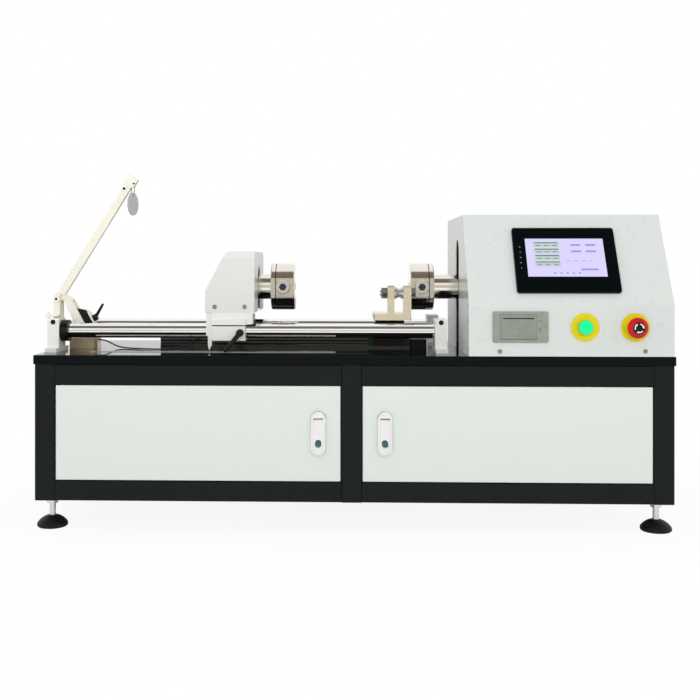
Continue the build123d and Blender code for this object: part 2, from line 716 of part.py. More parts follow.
def touch_panel():
    on_slope = slope_plane()
    front = extrude(on_slope * RectangleRounded(PANEL_WIDTH, PANEL_HEIGHT, PANEL_CORNER), amount=PANEL_PROUD)
    front = chamfer(front.faces().sort_by(Axis((0, 0, 0), tuple(on_slope.z_dir)))[-1].edges(), 1)
    body = extrude(on_slope * Rectangle(PANEL_BODY[0], PANEL_BODY[1]), amount=-PANEL_BODY[2])
    screen_plane = on_slope.offset(PANEL_PROUD - SCREEN_DEPTH)
    screen_sketch = Pos(0, SCREEN_RAISE) * Rectangle(*SCREEN_SIZE)
    screen = extrude(screen_plane * screen_sketch, amount=SCREEN_DEPTH)
    recess = extrude(screen_plane * screen_sketch, amount=SCREEN_DEPTH + 1)
    return group([front + body - recess, screen])


def printer():
    """The panel printer: a bezel with a paper well behind it, the hinged cover and the feed button."""
    bezel_x = (PRINTER_X - PRINTER_WIDTH / 2, PRINTER_X + PRINTER_WIDTH / 2)
    bezel_z = (PRINTER_Z - PRINTER_HEIGHT / 2, PRINTER_Z + PRINTER_HEIGHT / 2)
    bezel = block(bezel_x, (-PRINTER_PROUD, 0), bezel_z)
    bezel = fillet(bezel.edges().filter_by(Axis.Y), 3)
    bezel = chamfer(bezel.edges().group_by(Axis.Y)[0], 1)
    body = front_plate(Pos(PRINTER_X, PRINTER_Z) * Rectangle(PRINTER_BODY[0], PRINTER_BODY[1]), (0, PRINTER_BODY[2]))
    cover_x = (COVER_LEFT, COVER_LEFT + COVER_WIDTH)
    cover_z = (COVER_BOTTOM, COVER_BOTTOM + COVER_HEIGHT)
    gap_x = (cover_x[0] - COVER_GAP, cover_x[1] + COVER_GAP)
    gap_z = (cover_z[0] - COVER_GAP, cover_z[1] + COVER_GAP)
    pocket = block(gap_x, (-PRINTER_PROUD - 1, COVER_THICK - PRINTER_PROUD + COVER_GAP), gap_z)
    well = block(
        (cover_x[0] + 4, cover_x[1] - 4),
        (-PRINTER_PROUD - 1, PRINTER_BODY[2] - PRINTER_WALL),
        (cover_z[0] + 5, cover_z[1] - 5),
    )
    hinge_y = COVER_THICK / 2 - PRINTER_PROUD
    hinge_z = COVER_BOTTOM + COVER_THICK / 2
    trunnion_x = (cover_x[0] - 2, cover_x[1] + 2)
    trunnion = rod_x(COVER_PIN_RADIUS, trunnion_x, hinge_y, hinge_z)
    socket_x = (trunnion_x[0] - 0.2, trunnion_x[1] + 0.2)
    socket = rod_x(COVER_PIN_RADIUS + RUNNING_CLEARANCE, socket_x, hinge_y, hinge_z)
    feed = Pos(FEED_X, FEED_Z) * SlotOverall(FEED_SIZE[1], FEED_SIZE[0], rotation=90)
    feed_room = Pos(FEED_X, FEED_Z) * SlotOverall(
        FEED_SIZE[1] + 2 * BUTTON_CLEARANCE, FEED_SIZE[0] + 2 * BUTTON_CLEARANCE, rotation=90
    )
    feed_depth = (-PRINTER_PROUD - 1, FEED_TRAVEL + 3)
    housing = bezel + body - pocket - well - socket - front_plate(feed_room, (feed_depth[0] - 1, feed_depth[1] + 2))
    cover = block(cover_x, (-PRINTER_PROUD, COVER_THICK - PRINTER_PROUD), (hinge_z, cover_z[1]))
    cover += rod_x(COVER_THICK / 2, cover_x, hinge_y, hinge_z) + trunnion
    slit = block((cover_x[0] + 5, cover_x[1] - 5), (-PRINTER_PROUD - 1, 1), (cover_z[1] - 8.5, cover_z[1] - 6.5))
    return housing, cover - slit, front_plate(feed, feed_depth)


def button_bezels():
    """The yellow rings and the fixed collars of the start and stop buttons, with their barrels."""
    solids = []
    for x, collar_radius, collar_thick, bore_radius in (
        (START_X, START_COLLAR_RADIUS, START_COLLAR_THICK, START_CAP_RADIUS),
        (STOP_X, STOP_COLLAR_RADIUS, STOP_COLLAR_THICK, STOP_STEM_RADIUS),
    ):
        ring = rod_y(LEGEND_RADIUS, x, (-LEGEND_THICK, 0), BUTTON_Z)
        solids.append(ring - rod_y(BARREL_RADIUS, x, (-LEGEND_THICK - 1, 1), BUTTON_Z))
        face = -LEGEND_THICK - collar_thick
        collar = rod_y(collar_radius, x, (face, -LEGEND_THICK), BUTTON_Z)
        collar = chamfer(collar.edges().group_by(Axis.Y)[0], 1)
        barrel = rod_y(BARREL_RADIUS, x, (-LEGEND_THICK, BARREL_DEPTH), BUTTON_Z)
        bore = rod_y(bore_radius + BUTTON_CLEARANCE, x, (face - 1, -LEGEND_THICK), BUTTON_Z)
        plunger_room = rod_y(STOP_STEM_RADIUS + BUTTON_CLEARANCE, x, (-LEGEND_THICK - 1, BARREL_DEPTH - 4), BUTTON_Z)
        solids.append(collar + barrel - bore - plunger_room)
    return group(solids)


def start_cap():
    face = -LEGEND_THICK - START_CAP_PROUD
    cap = rod_y(START_CAP_RADIUS, START_X, (face, -LEGEND_THICK - START_TRAVEL - 0.3), BUTTON_Z)
    cap = fillet(cap.edges().group_by(Axis.Y)[0], 2)
    return cap + rod_y(STOP_STEM_RADIUS, START_X, (-LEGEND_THICK - START_TRAVEL - 0.3, BARREL_DEPTH / 2), BUTTON_Z)


def stop_button():
    """The stop button's stem, which slides, and its mushroom head, which turns on the stem."""
    stem = rod_y(STOP_STEM_RADIUS, STOP_X, (-STOP_HEAD_BACK, BARREL_DEPTH / 2), BUTTON_Z)
    neck = STOP_STEM_RADIUS - 2
    stem += rod_y(neck, STOP_X, (-STOP_HEAD_BACK - 7, -STOP_HEAD_BACK), BUTTON_Z)
    profile = make_face(
        Line((0, 0.3), (0, STOP_REACH - STOP_HEAD_BACK))
        + ThreePointArc(
            (0, STOP_REACH - STOP_HEAD_BACK),
            (STOP_HEAD_RADIUS * 0.62, STOP_REACH - STOP_HEAD_BACK - 3.2),
            (STOP_HEAD_RADIUS, STOP_REACH - STOP_HEAD_BACK - 9),
        )
        + Polyline((STOP_HEAD_RADIUS, STOP_REACH - STOP_HEAD_BACK - 9), (STOP_HEAD_RADIUS - 3, 0.3), (0, 0.3))
    )
    head = revolve(Plane.XY * profile, Axis.Y)
    head = Pos(STOP_X, -STOP_HEAD_BACK, BUTTON_Z) * Rot(0, 0, 180) * head
    bore = rod_y(neck + RUNNING_CLEARANCE, STOP_X, (-STOP_HEAD_BACK - 7.2, 0), BUTTON_Z)
    return stem, head - bore


def chuck(face, direction):
    """A wire chuck's body: direction is 1 where its rear lies at higher X than its face."""
    rear = face + direction * CHUCK_LENGTH
    body = rod_x(CHUCK_RADIUS, sorted((face, rear)), AXIS_Y, AXIS_Z)
    body = chamfer(body.edges().filter_by(GeomType.CIRCLE), CHUCK_EDGE)
    groove = sorted((face + direction * RING_GROOVE_AT, face + direction * (RING_GROOVE_AT + RING_GROOVE[0])))
    body -= rod_x(CHUCK_RADIUS + 1, groove, AXIS_Y, AXIS_Z) - rod_x(CHUCK_RADIUS - RING_GROOVE[1], groove, AXIS_Y, AXIS_Z)
    everywhere = sorted((face - direction, rear + direction))
    body -= block(everywhere, (AXIS_Y - CHUCK_RADIUS - 1, FLAT_Y), (0, AXIS_Z + CHUCK_RADIUS))
    slot_x = sorted((face - direction, face + direction * JAW_SLOT_DEPTH))
    half = JAW_SLOT_HEIGHT / 2
    outer = AXIS_Y - JAW_GAP / 2 - JAW_LENGTH - JAW_TRAVEL - 1
    body -= block(slot_x, (outer, AXIS_Y + JAW_GAP / 2), (AXIS_Z - half, AXIS_Z + half))
    screw_x = face + direction * SCREW_BACK
    body -= rod_y(SCREW_RADIUS + RUNNING_CLEARANCE, screw_x, (AXIS_Y - CHUCK_RADIUS - 1, outer + 1), AXIS_Z)
    nose = sorted((rear - direction * NOSE_LENGTH, rear + direction))
    body -= rod_x(NOSE_RADIUS, nose, AXIS_Y, AXIS_Z)
    return body - rod_x(WIRE_BORE_RADIUS, everywhere, AXIS_Y, AXIS_Z)


def chuck_jaw(face, direction):
    """The moving jaw: a block with a shallow wire groove, pushed along Y by the clamp screw."""
    half = JAW_SLOT_HEIGHT / 2 - JAW_CLEARANCE
    x = sorted((face + direction * 0.5, face + direction * (JAW_SLOT_DEPTH - 0.5)))
    inner = AXIS_Y - JAW_GAP / 2
    jaw = block(x, (inner - JAW_LENGTH, inner), (AXIS_Z - half, AXIS_Z + half))
    groove = prism_x(((inner - 1.2, AXIS_Z), (inner + 1, AXIS_Z + 2.2), (inner + 1, AXIS_Z - 2.2)), (x[0] - 1, x[1] + 1))
    return jaw - groove


def clamp_screw(face, direction):
    """The socket screw that closes the jaw; its head stands off the chuck's flat."""
    x = face + direction * SCREW_BACK
    under_head = FLAT_Y - SCREW_STANDOFF
    tip = AXIS_Y - JAW_GAP / 2 - JAW_LENGTH
    head_face = under_head - SCREW_HEAD_LENGTH
    head = rod_y(SCREW_HEAD_RADIUS, x, (head_face, under_head), AXIS_Z)
    head = chamfer(head.edges().group_by(Axis.Y)[0], 1.2)
    head -= hexagon_y(SCREW_SOCKET, x, (head_face - 1, head_face + SCREW_SOCKET_DEPTH), AXIS_Z)
    return head + rod_y(SCREW_RADIUS, x, (under_head, tip), AXIS_Z)


def spindle_shaft(radius, x, rear, direction):
    """A spindle between two values of x with a nose that fits the chuck's rear bore."""
    nose = sorted((rear, rear - direction * NOSE_LENGTH))
    shaft = rod_x(radius, x, AXIS_Y, AXIS_Z)
    return shaft + rod_x(NOSE_RADIUS, nose, AXIS_Y, AXIS_Z)


def drive_spindle():
    shaft = spindle_shaft(SPINDLE_RADIUS, (CHUCK_REAR, JOURNAL_START), CHUCK_REAR, 1)
    return shaft + rod_x(JOURNAL_RADIUS, (JOURNAL_START, SPINDLE_END), AXIS_Y, AXIS_Z)


def bearing_blocks():
    """Two pillow blocks on the table, each with its ball bearing's outer body as a separate ring."""
    solids = []
    for centre in BEARING_CENTRES:
        x = (centre - HOUSING_LENGTH / 2, centre + HOUSING_LENGTH / 2)
        outline = Pos(AXIS_Y, AXIS_Z) * Circle(HOUSING_RADIUS) + Pos(AXIS_Y, AXIS_Z / 2) * Rectangle(
            2 * HOUSING_RADIUS, AXIS_Z
        )
        foot = Pos(AXIS_Y, HOUSING_FOOT[1] / 2) * Rectangle(*HOUSING_FOOT)
        housing = side_plate(outline + foot, x)
        inner = (centre - BEARING_WIDTH / 2, centre + BEARING_WIDTH / 2)
        housing -= rod_x(JOURNAL_RADIUS + 4, x, AXIS_Y, AXIS_Z) + rod_x(BEARING_OUTER_RADIUS, inner, AXIS_Y, AXIS_Z)
        ring = rod_x(BEARING_OUTER_RADIUS, inner, AXIS_Y, AXIS_Z)
        ring -= rod_x(JOURNAL_RADIUS + RUNNING_CLEARANCE, inner, AXIS_Y, AXIS_Z)
        solids += [housing, ring]
    return group(solids)


def spindle_guard():
    """A striped plate on the first bearing block, seen through the hood's slot round the spindle."""
    face = BEARING_CENTRES[0] - HOUSING_LENGTH / 2
    half = GUARD_WIDTH / 2
    outline = Pos(AXIS_Y, (GUARD_LOW + GUARD_TOP) / 2) * RectangleRounded(GUARD_WIDTH, GUARD_TOP - GUARD_LOW, 12)
    hole = Pos(AXIS_Y, AXIS_Z) * Circle(GUARD_HOLE_RADIUS)
    return side_plate(outline - hole, (face - GUARD_THICK, face))


def toothed_pulley(radius, teeth, bore, y, z):
    """A belt pulley with trapezoid grooves, and a lip at each side that keeps the belt on."""
    width = TOOTH_PITCH * 0.3
    notch = Polygon((radius + 1, -width), (radius + 1, width), (radius - TOOTH_DEPTH, width * 0.6),
                    (radius - TOOTH_DEPTH, -width * 0.6), align=None)
    rim = Circle(radius) - [Rot(0, 0, index * 360 / teeth) * notch for index in range(teeth)]
    band = side_plate(Pos(y, z) * rim, (PULLEY_START, PULLEY_START + PULLEY_WIDTH))
    lip = Pos(y, z) * Circle(radius + FLANGE_LIP)
    for start in (PULLEY_START - FLANGE_WIDTH, PULLEY_START + PULLEY_WIDTH):
        band += side_plate(lip, (start, start + FLANGE_WIDTH))
    everywhere = (PULLEY_START - FLANGE_WIDTH - 1, PULLEY_START + PULLEY_WIDTH + FLANGE_WIDTH + 1)
    return band - rod_x(bore, everywhere, y, z) if bore else band


def belt_loop(grow):
    """The outline round both pulleys, grown outwards from their tooth tips."""
    rims = Pos(AXIS_Y, AXIS_Z) * Circle(SPINDLE_PULLEY_RADIUS + grow)
    rims += Pos(MOTOR_Y, MOTOR_Z) * Circle(MOTOR_PULLEY_RADIUS + grow)
    return make_hull(rims.edges())


def drive_belt():
    loop = belt_loop(BELT_CLEARANCE + BELT_THICK) - belt_loop(BELT_CLEARANCE)
    return side_plate(loop, (PULLEY_START + 1, PULLEY_START + PULLEY_WIDTH - 1))


def motor_pulley():
    wheel = toothed_pulley(MOTOR_PULLEY_RADIUS, MOTOR_TEETH, 0, MOTOR_Y, MOTOR_Z)
    return wheel + rod_x(MOTOR_SHAFT_RADIUS, (PULLEY_START + PULLEY_WIDTH, BRACKET_X + SHAFT_REACH), MOTOR_Y, MOTOR_Z)


def drive_motor():
    """The geared motor and the angle bracket that carries it."""
    bracket_y = (MOTOR_Y - BRACKET_SIZE[0] / 2, MOTOR_Y + BRACKET_SIZE[0] / 2 - 22)
    bracket = block((BRACKET_X, BRACKET_X + BRACKET_THICK), bracket_y, (0, BRACKET_SIZE[1]))
    foot_x = (BRACKET_X + BRACKET_THICK, BRACKET_X + BRACKET_THICK + BRACKET_FOOT)
    bracket += block(foot_x, bracket_y, (0, BRACKET_THICK))
    bracket -= rod_x(GEARBOX_RADIUS / 2, (BRACKET_X - 1, BRACKET_X + BRACKET_THICK + 1), MOTOR_Y, MOTOR_Z)
    gearbox_x = (BRACKET_X + BRACKET_THICK, BRACKET_X + BRACKET_THICK + GEARBOX_LENGTH)
    gearbox = rod_x(GEARBOX_RADIUS, gearbox_x, MOTOR_Y, MOTOR_Z)
    half = MOTOR_SIDE / 2
    motor = block(
        (gearbox_x[1], gearbox_x[1] + MOTOR_LENGTH), (MOTOR_Y - half, MOTOR_Y + half), (MOTOR_Z - half, MOTOR_Z + half)
    )
    motor = chamfer(motor.edges().filter_by(Axis.X), 8)
    drive = gearbox + motor
    drive -= rod_x(MOTOR_SHAFT_RADIUS + RUNNING_CLEARANCE, (gearbox_x[0] - 1, BRACKET_X + SHAFT_REACH + 2), MOTOR_Y, MOTOR_Z)
    return group([bracket, drive])


def rod_supports():
    """Four split blocks on feet that clamp the ends of the two rods."""
    outline = Pos(0, SUPPORT_HEIGHT / 2) * RectangleRounded(SUPPORT_DEPTH, SUPPORT_HEIGHT, 2)
    outline += Pos(0, SUPPORT_FOOT_THICK / 2) * Rectangle(SUPPORT_FOOT_DEPTH, SUPPORT_FOOT_THICK)
    outline -= Pos(0, ROD_Z) * Circle(ROD_RADIUS)
    outline -= Pos(0, SUPPORT_HEIGHT) * Rectangle(SUPPORT_SLIT, 2 * (SUPPORT_HEIGHT - ROD_Z))
    solids = []
    post_half = POST_OVERALL / 2 + POST_CLEARANCE
    post_room = block(
        (LEVER_X - POST_WIDTH, LEVER_X + POST_WIDTH / 2 + POST_CLEARANCE),
        (LEVER_Y - post_half, LEVER_Y + post_half),
        (-1, SUPPORT_FOOT_THICK + 1),
    )
    for left in (ROD_LEFT, ROD_RIGHT - SUPPORT_WIDTH):
        for y in (FRONT_ROD_Y, BACK_ROD_Y):
            solids.append(side_plate(Pos(y, 0) * outline, (left, left + SUPPORT_WIDTH)) - post_room)
    return group(solids)


def guide_rods():
    rods = []
    for y in (FRONT_ROD_Y, BACK_ROD_Y):
        rod = rod_x(ROD_RADIUS, (ROD_LEFT, ROD_RIGHT), y, ROD_Z)
        rods.append(chamfer(rod.edges().filter_by(GeomType.CIRCLE), 1))
    return group(rods)


def bed_stops():
    """A stop collar at the left end of each rod, and the block that stops the rail carriage."""
    stops = []
    for y in (FRONT_ROD_Y, BACK_ROD_Y):
        left = ROD_LEFT + SUPPORT_WIDTH
        collar = rod_x(COLLAR_RADIUS, (left, left + COLLAR_WIDTH), y, ROD_Z)
        stops.append(collar - rod_x(ROD_RADIUS, (left - 1, left + COLLAR_WIDTH + 1), y, ROD_Z))
    half = STOP_BLOCK[1] / 2
    end = block((RAIL_RIGHT, RAIL_RIGHT + STOP_BLOCK[0]), (AXIS_Y - half, AXIS_Y + half), (0, STOP_BLOCK[2]))
    stops.append(chamfer(end.edges().filter_by(Axis.Z), 2))
    return group(stops)


def rail_outline(grow):
    """The linear rail's waisted section, (y, z), about the spindle's plane."""
    half = RAIL_WIDTH / 2 + grow
    waist = half - RAIL_WAIST
    top = RAIL_HEIGHT + grow
    left = ((-half, 0), (-half, 7), (-waist, 10), (-waist, 14), (-half, 17 + grow), (-half, top))
    right = [(-y, z) for y, z in reversed(left)]
    return [(AXIS_Y + y, z) for y, z in (*left, *right)]


def rail_carriage():
    """The rail carriage, a steel block with a sealing cap at each end, and the adapter plate on it."""
    right = CARRIAGE_LEFT + CARRIAGE_LENGTH
    half = CARRIAGE_WIDTH / 2
    core = (CARRIAGE_LEFT + END_CAP, right - END_CAP)
    solids = []
    for x, shrink in (((CARRIAGE_LEFT, core[0]), 1.5), (core, 0), ((core[1], right), 1.5)):
        body = block(x, (AXIS_Y - half + shrink, AXIS_Y + half - shrink), (CARRIAGE_LOW, CARRIAGE_TOP - shrink))
        body = chamfer(body.edges().filter_by(Axis.X).group_by(Axis.Z)[-1], 2)
        solids.append(body - prism_x(rail_outline(CARRIAGE_CLEARANCE), (x[0] - 1, x[1] + 1)))
    adapter_x = (ADAPTER_LEFT, ADAPTER_LEFT + ADAPTER_LENGTH)
    solids.append(block(adapter_x, (AXIS_Y - half - 8, AXIS_Y + half), (CARRIAGE_TOP, FORK_LOW)))
    return group(solids)


def fork_bracket():
    """The two-pronged bracket that holds the roller."""
    right = FORK_LEFT + FORK_LENGTH
    bar = block((FORK_LEFT, right), (FORK_FRONT, FORK_BACK), (FORK_LOW, FORK_LOW + FORK_BAR))
    bar = fillet(bar.edges().filter_by(Axis.Z), 3)
    bracket = bar
    for x in (LEFT_PRONG, (right - RIGHT_PRONG_WIDTH, right)):
        prong = block(x, (FORK_FRONT, FORK_FRONT + PRONG_DEPTH), (FORK_LOW + FORK_BAR / 2, FORK_TOP))
        bracket += fillet(prong.edges().filter_by(Axis.X).group_by(Axis.Z)[-1], 5)
    axis_y = FORK_FRONT + PRONG_DEPTH / 2
    bracket -= rod_x(CROSS_BOLT_RADIUS, (LEFT_PRONG[0] - 1, right + 1), axis_y, CROSS_BOLT_Z)
    return bracket


def fork_bolt():
    """The roller's axle: a hexagon bolt with its nut outside the left prong."""
    axis_y = FORK_FRONT + PRONG_DEPTH / 2
    right = FORK_LEFT + FORK_LENGTH
    nut_x = (LEFT_PRONG[0] - CROSS_NUT_WIDTH, LEFT_PRONG[0])
    bolt = rod_x(CROSS_BOLT_RADIUS, (nut_x[0] - 3, right), axis_y, CROSS_BOLT_Z)
    bolt += hexagon_x(CROSS_NUT_FLATS, (right, right + 9), axis_y, CROSS_BOLT_Z)
    nut = hexagon_x(CROSS_NUT_FLATS, nut_x, axis_y, CROSS_BOLT_Z) - rod_x(CROSS_BOLT_RADIUS, nut_x, axis_y, CROSS_BOLT_Z)
    return group([bolt, nut])


def fork_roller():
    axis_y = FORK_FRONT + PRONG_DEPTH / 2
    left = LEFT_PRONG[1] + ROLLER_SIDE_GAP
    right = FORK_LEFT + FORK_LENGTH - RIGHT_PRONG_WIDTH - ROLLER_SIDE_GAP
    middle = (left + right) / 2
    bore = CROSS_BOLT_RADIUS + RUNNING_CLEARANCE
    profile = Polygon(
        (left, bore), (left, ROLLER_RADIUS), (left + 2, ROLLER_RADIUS), (middle, ROLLER_RADIUS - ROLLER_GROOVE),
        (right - 2, ROLLER_RADIUS), (right, ROLLER_RADIUS), (right, bore), align=None,
    )
    wheel = revolve(Plane.XY * profile, Axis.X)
    return Pos(0, axis_y, CROSS_BOLT_Z) * wheel


def tail_carriage():
    """Two split clamp blocks on the rods, the cross plate between them and a gusset under the hood."""
    right = TAIL_BLOCK_LEFT + TAIL_BLOCK_LENGTH
    x = (TAIL_BLOCK_LEFT, right)
    solids = []
    for y, side in ((FRONT_ROD_Y, -1), (BACK_ROD_Y, 1)):
        half = TAIL_BLOCK_DEPTH / 2
        body = block(x, (y - half, y + half), (TAIL_BLOCK_LOW, TAIL_BLOCK_HIGH))
        body = chamfer(body.edges().filter_by(Axis.X), 1)
        body -= rod_x(ROD_RADIUS + SLIDE_CLEARANCE, (x[0] - 1, x[1] + 1), y, ROD_Z)
        slit_y = sorted((y + side * (half + 1), y))
        slit_z = (TAIL_SLIT_Z - TAIL_SLIT / 2, TAIL_SLIT_Z + TAIL_SLIT / 2)
        body -= block((x[0] - 1, x[1] + 1), slit_y, slit_z)
        if side < 0:
            body -= rod_y(CLAMP_STUD_RADIUS + RUNNING_CLEARANCE, CLAMP_X, (y - half - 1, y), CLAMP_Z)
        solids.append(body)
    plate_x = (TAIL_BLOCK_LEFT, TAIL_BLOCK_LEFT + CROSS_PLATE_LENGTH)
    solids.append(block(plate_x, (TAIL_HOOD_FRONT, TAIL_HOOD_BACK), (TAIL_BLOCK_HIGH, CROSS_PLATE_TOP)))
    gusset_x = (right, right + GUSSET_REACH)
    gusset = prism_y(
        ((plate_x[1], CROSS_PLATE_TOP), (plate_x[1], TAIL_BLOCK_HIGH), (gusset_x[0], TAIL_BLOCK_HIGH),
         (gusset_x[0], TAIL_BLOCK_HIGH - 12), (gusset_x[1], CROSS_PLATE_TOP - GUSSET_DROP),
         (gusset_x[1], CROSS_PLATE_TOP)),
        (TAIL_HOOD_FRONT, TAIL_HOOD_FRONT + GUSSET_THICK),
    )
    solids.append(gusset)
    return group(solids)


def tail_hood():
    """The tailstock's sheet hood: one slanted flank, a bent top front edge and a slot for the spindle."""

    def shape(inset, foot):
        low = inset if inset else 0
        lean = math.atan2(TAIL_HOOD_TOP - TAIL_HOOD_SHOULDER, TAIL_HOOD_TOP_LEFT - TAIL_HOOD_LEFT)
        shoulder_drop = inset * math.tan((math.pi / 2 - lean) / 2)
        top_shift = inset * math.tan(lean / 2)
        outline = (
            (TAIL_HOOD_LEFT + low, foot),
            (TAIL_HOOD_LEFT + low, TAIL_HOOD_SHOULDER - shoulder_drop),
            (TAIL_HOOD_TOP_LEFT + top_shift, TAIL_HOOD_TOP - inset),
            (TAIL_HOOD_RIGHT - low, TAIL_HOOD_TOP - inset),
            (TAIL_HOOD_RIGHT - low, foot),
        )
        body = prism_y(outline, (TAIL_HOOD_FRONT + inset, TAIL_HOOD_BACK - inset))
        top_front = body.edges().filter_by(Axis.X).group_by(Axis.Z)[-1]
        return chamfer(top_front, TAIL_HOOD_CHAMFER)

    shell = shape(0, TAIL_HOOD_LOW) - shape(HOOD_SHEET, TAIL_HOOD_LOW - 1)
    half = SPINDLE_SLOT_WIDTH / 2
    slot = make_face(
        Polyline((AXIS_Y - half, TAIL_HOOD_SLOT_TOP - half), (AXIS_Y - half, TAIL_HOOD_LOW - 1),
                 (AXIS_Y + half, TAIL_HOOD_LOW - 1), (AXIS_Y + half, TAIL_HOOD_SLOT_TOP - half))
        + ThreePointArc((AXIS_Y + half, TAIL_HOOD_SLOT_TOP - half), (AXIS_Y, TAIL_HOOD_SLOT_TOP),
                        (AXIS_Y - half, TAIL_HOOD_SLOT_TOP - half))
    )
    return shell - side_plate(slot, (TAIL_HOOD_RIGHT - HOOD_SHEET - 1, TAIL_HOOD_RIGHT + 1))


def torque_sensor():
    """The static torque sensor in its saddle on the cross plate."""
    x = (SENSOR_LEFT, SENSOR_LEFT + SENSOR_LENGTH)
    saddle_x = (SENSOR_LEFT, TAIL_BLOCK_LEFT + CROSS_PLATE_LENGTH)
    body = rod_x(SENSOR_RADIUS, x, AXIS_Y, AXIS_Z)
    body = chamfer(body.edges().filter_by(GeomType.CIRCLE), 3)
    saddle = block(saddle_x, (AXIS_Y - SENSOR_RADIUS - 8, AXIS_Y + SENSOR_RADIUS + 8), (CROSS_PLATE_TOP, AXIS_Z - 18))
    return body + saddle


def tail_spindle():
    return spindle_shaft(
        TAIL_SPINDLE_RADIUS, (SENSOR_LEFT + SENSOR_LENGTH, TAIL_CHUCK_REAR), TAIL_CHUCK_REAR, -1
    )


def scale_pointer():
    """The strip that hangs from inside the tail hood and points at the steel rule."""
    left = TAIL_HOOD_LEFT + HOOD_SHEET
    right = left + POINTER_WIDTH
    y = TAIL_HOOD_FRONT + HOOD_SHEET
    return prism_y(
        ((left, POINTER_TOP_Z), (left, POINTER_SHOULDER_Z + 14), (left + 3.5, POINTER_SHOULDER_Z + 12),
         (left + 3.5, POINTER_SHOULDER_Z - 6), (left + POINTER_WIDTH / 2, POINTER_TIP_Z),
         (right - 0.5, POINTER_SHOULDER_Z - 6), (right - 0.5, POINTER_TOP_Z)),
        (y, y + POINTER_THICK),
    )


def tapered_lever(start, end, start_radius, end_radius):
    """A round tapered arm between two points, with a ball at its far end."""
    axis = Vector(end) - Vector(start)
    plane = Plane(origin=start, z_dir=axis.normalized())
    return loft([plane * Circle(start_radius), plane.offset(axis.length) * Circle(end_radius)]) + Pos(*end) * Sphere(
        end_radius
    )


def tail_clamp_lever():
    """The lever that presses a stud on the front rod."""
    face = FRONT_ROD_Y - TAIL_BLOCK_DEPTH / 2
    hub = rod_y(CLAMP_HUB_RADIUS, CLAMP_X, (face - CLAMP_HUB_LENGTH, face - 0.3), CLAMP_Z)
    hub = chamfer(hub.edges().group_by(Axis.Y)[0], 1)
    stud = rod_y(CLAMP_STUD_RADIUS, CLAMP_X, (face - 0.3, FRONT_ROD_Y - ROD_RADIUS - 0.3), CLAMP_Z)
    root = (CLAMP_X, face - CLAMP_HUB_LENGTH / 2, CLAMP_Z)
    tip = (CLAMP_X + CLAMP_TIP[0], face + CLAMP_TIP[1], CLAMP_Z + CLAMP_TIP[2])
    return hub + stud + tapered_lever(root, tip, CLAMP_TIP_RADIUS + 1, CLAMP_TIP_RADIUS)


def lever_frame():
    """A plane at the lever's pivot: x along the arm, y across it to the upper left, z towards the front."""
    angle = math.radians(ARM_ANGLE)
    return Plane(origin=(LEVER_X, LEVER_Y, LEVER_Z), x_dir=(math.cos(angle), 0, math.sin(angle)), z_dir=(0, -1, 0))


def arm_plate(sketch, thick):
    """A sketch in the arm's own axes, made into a plate centred on the lever's plane."""
    return extrude(lever_frame() * sketch, amount=thick / 2, both=True)


def tension_arm():
    """The long arm with its short crank, and the notched head that carries the disc's eye pin."""
    bar = Pos(ARM_LENGTH / 2, 0) * Rectangle(ARM_LENGTH, ARM_WIDTH) + Circle(ARM_ROOT_RADIUS)
    lug = link_pin_in_arm()
    crank = Pos(CRANK_EDGE - CRANK_THICK / 2, lug[1] / 2) * Rectangle(CRANK_THICK, -lug[1])
    crank += Pos(*lug) * Circle(CRANK_THICK / 2)
    arm = arm_plate(bar + crank - Circle(PIVOT_BOLT_RADIUS + RUNNING_CLEARANCE), ARM_THICK)
    arm -= arm_plate(Pos(*lug) * Circle(LINK_PIN_RADIUS + RUNNING_CLEARANCE), ARM_THICK + 2)
    head_y = (-HEAD_WIDTH[1], -HEAD_WIDTH[0])
    head_sketch = Pos(ARM_LENGTH + HEAD_LENGTH / 2, sum(head_y) / 2) * Rectangle(HEAD_LENGTH, head_y[1] - head_y[0])
    head = arm_plate(head_sketch, HEAD_THICK)
    head = chamfer(head.edges().filter_by(Axis.Y), 1)
    notch_sketch = Pos(ARM_LENGTH + (NOTCH_ALONG[0] + NOTCH_ALONG[1]) / 2, -HEAD_WIDTH[1] / 2) * Rectangle(
        NOTCH_ALONG[1] - NOTCH_ALONG[0], HEAD_WIDTH[1] + 1
    )
    notch = arm_plate(notch_sketch, NOTCH_WIDTH)
    arm -= notch
    head -= notch
    head += arm_plate(Pos(EYE_PIN_AT[0], -EYE_PIN_AT[1]) * Circle(EYE_PIN_RADIUS), HEAD_THICK)
    return group([arm, head])


def link_pin_in_arm():
    """The link pin's place in the arm's own axes."""
    angle = math.radians(ARM_ANGLE)
    along = LINK_PIN[0] * math.cos(angle) + LINK_PIN[1] * math.sin(angle)
    across = -LINK_PIN[0] * math.sin(angle) + LINK_PIN[1] * math.cos(angle)
    return along, across


def eye_place():
    """The eye pin's (x, z)."""
    angle = math.radians(ARM_ANGLE)
    along, down = EYE_PIN_AT
    x = LEVER_X + along * math.cos(angle) + down * math.sin(angle)
    z = LEVER_Z + along * math.sin(angle) - down * math.cos(angle)
    return x, z


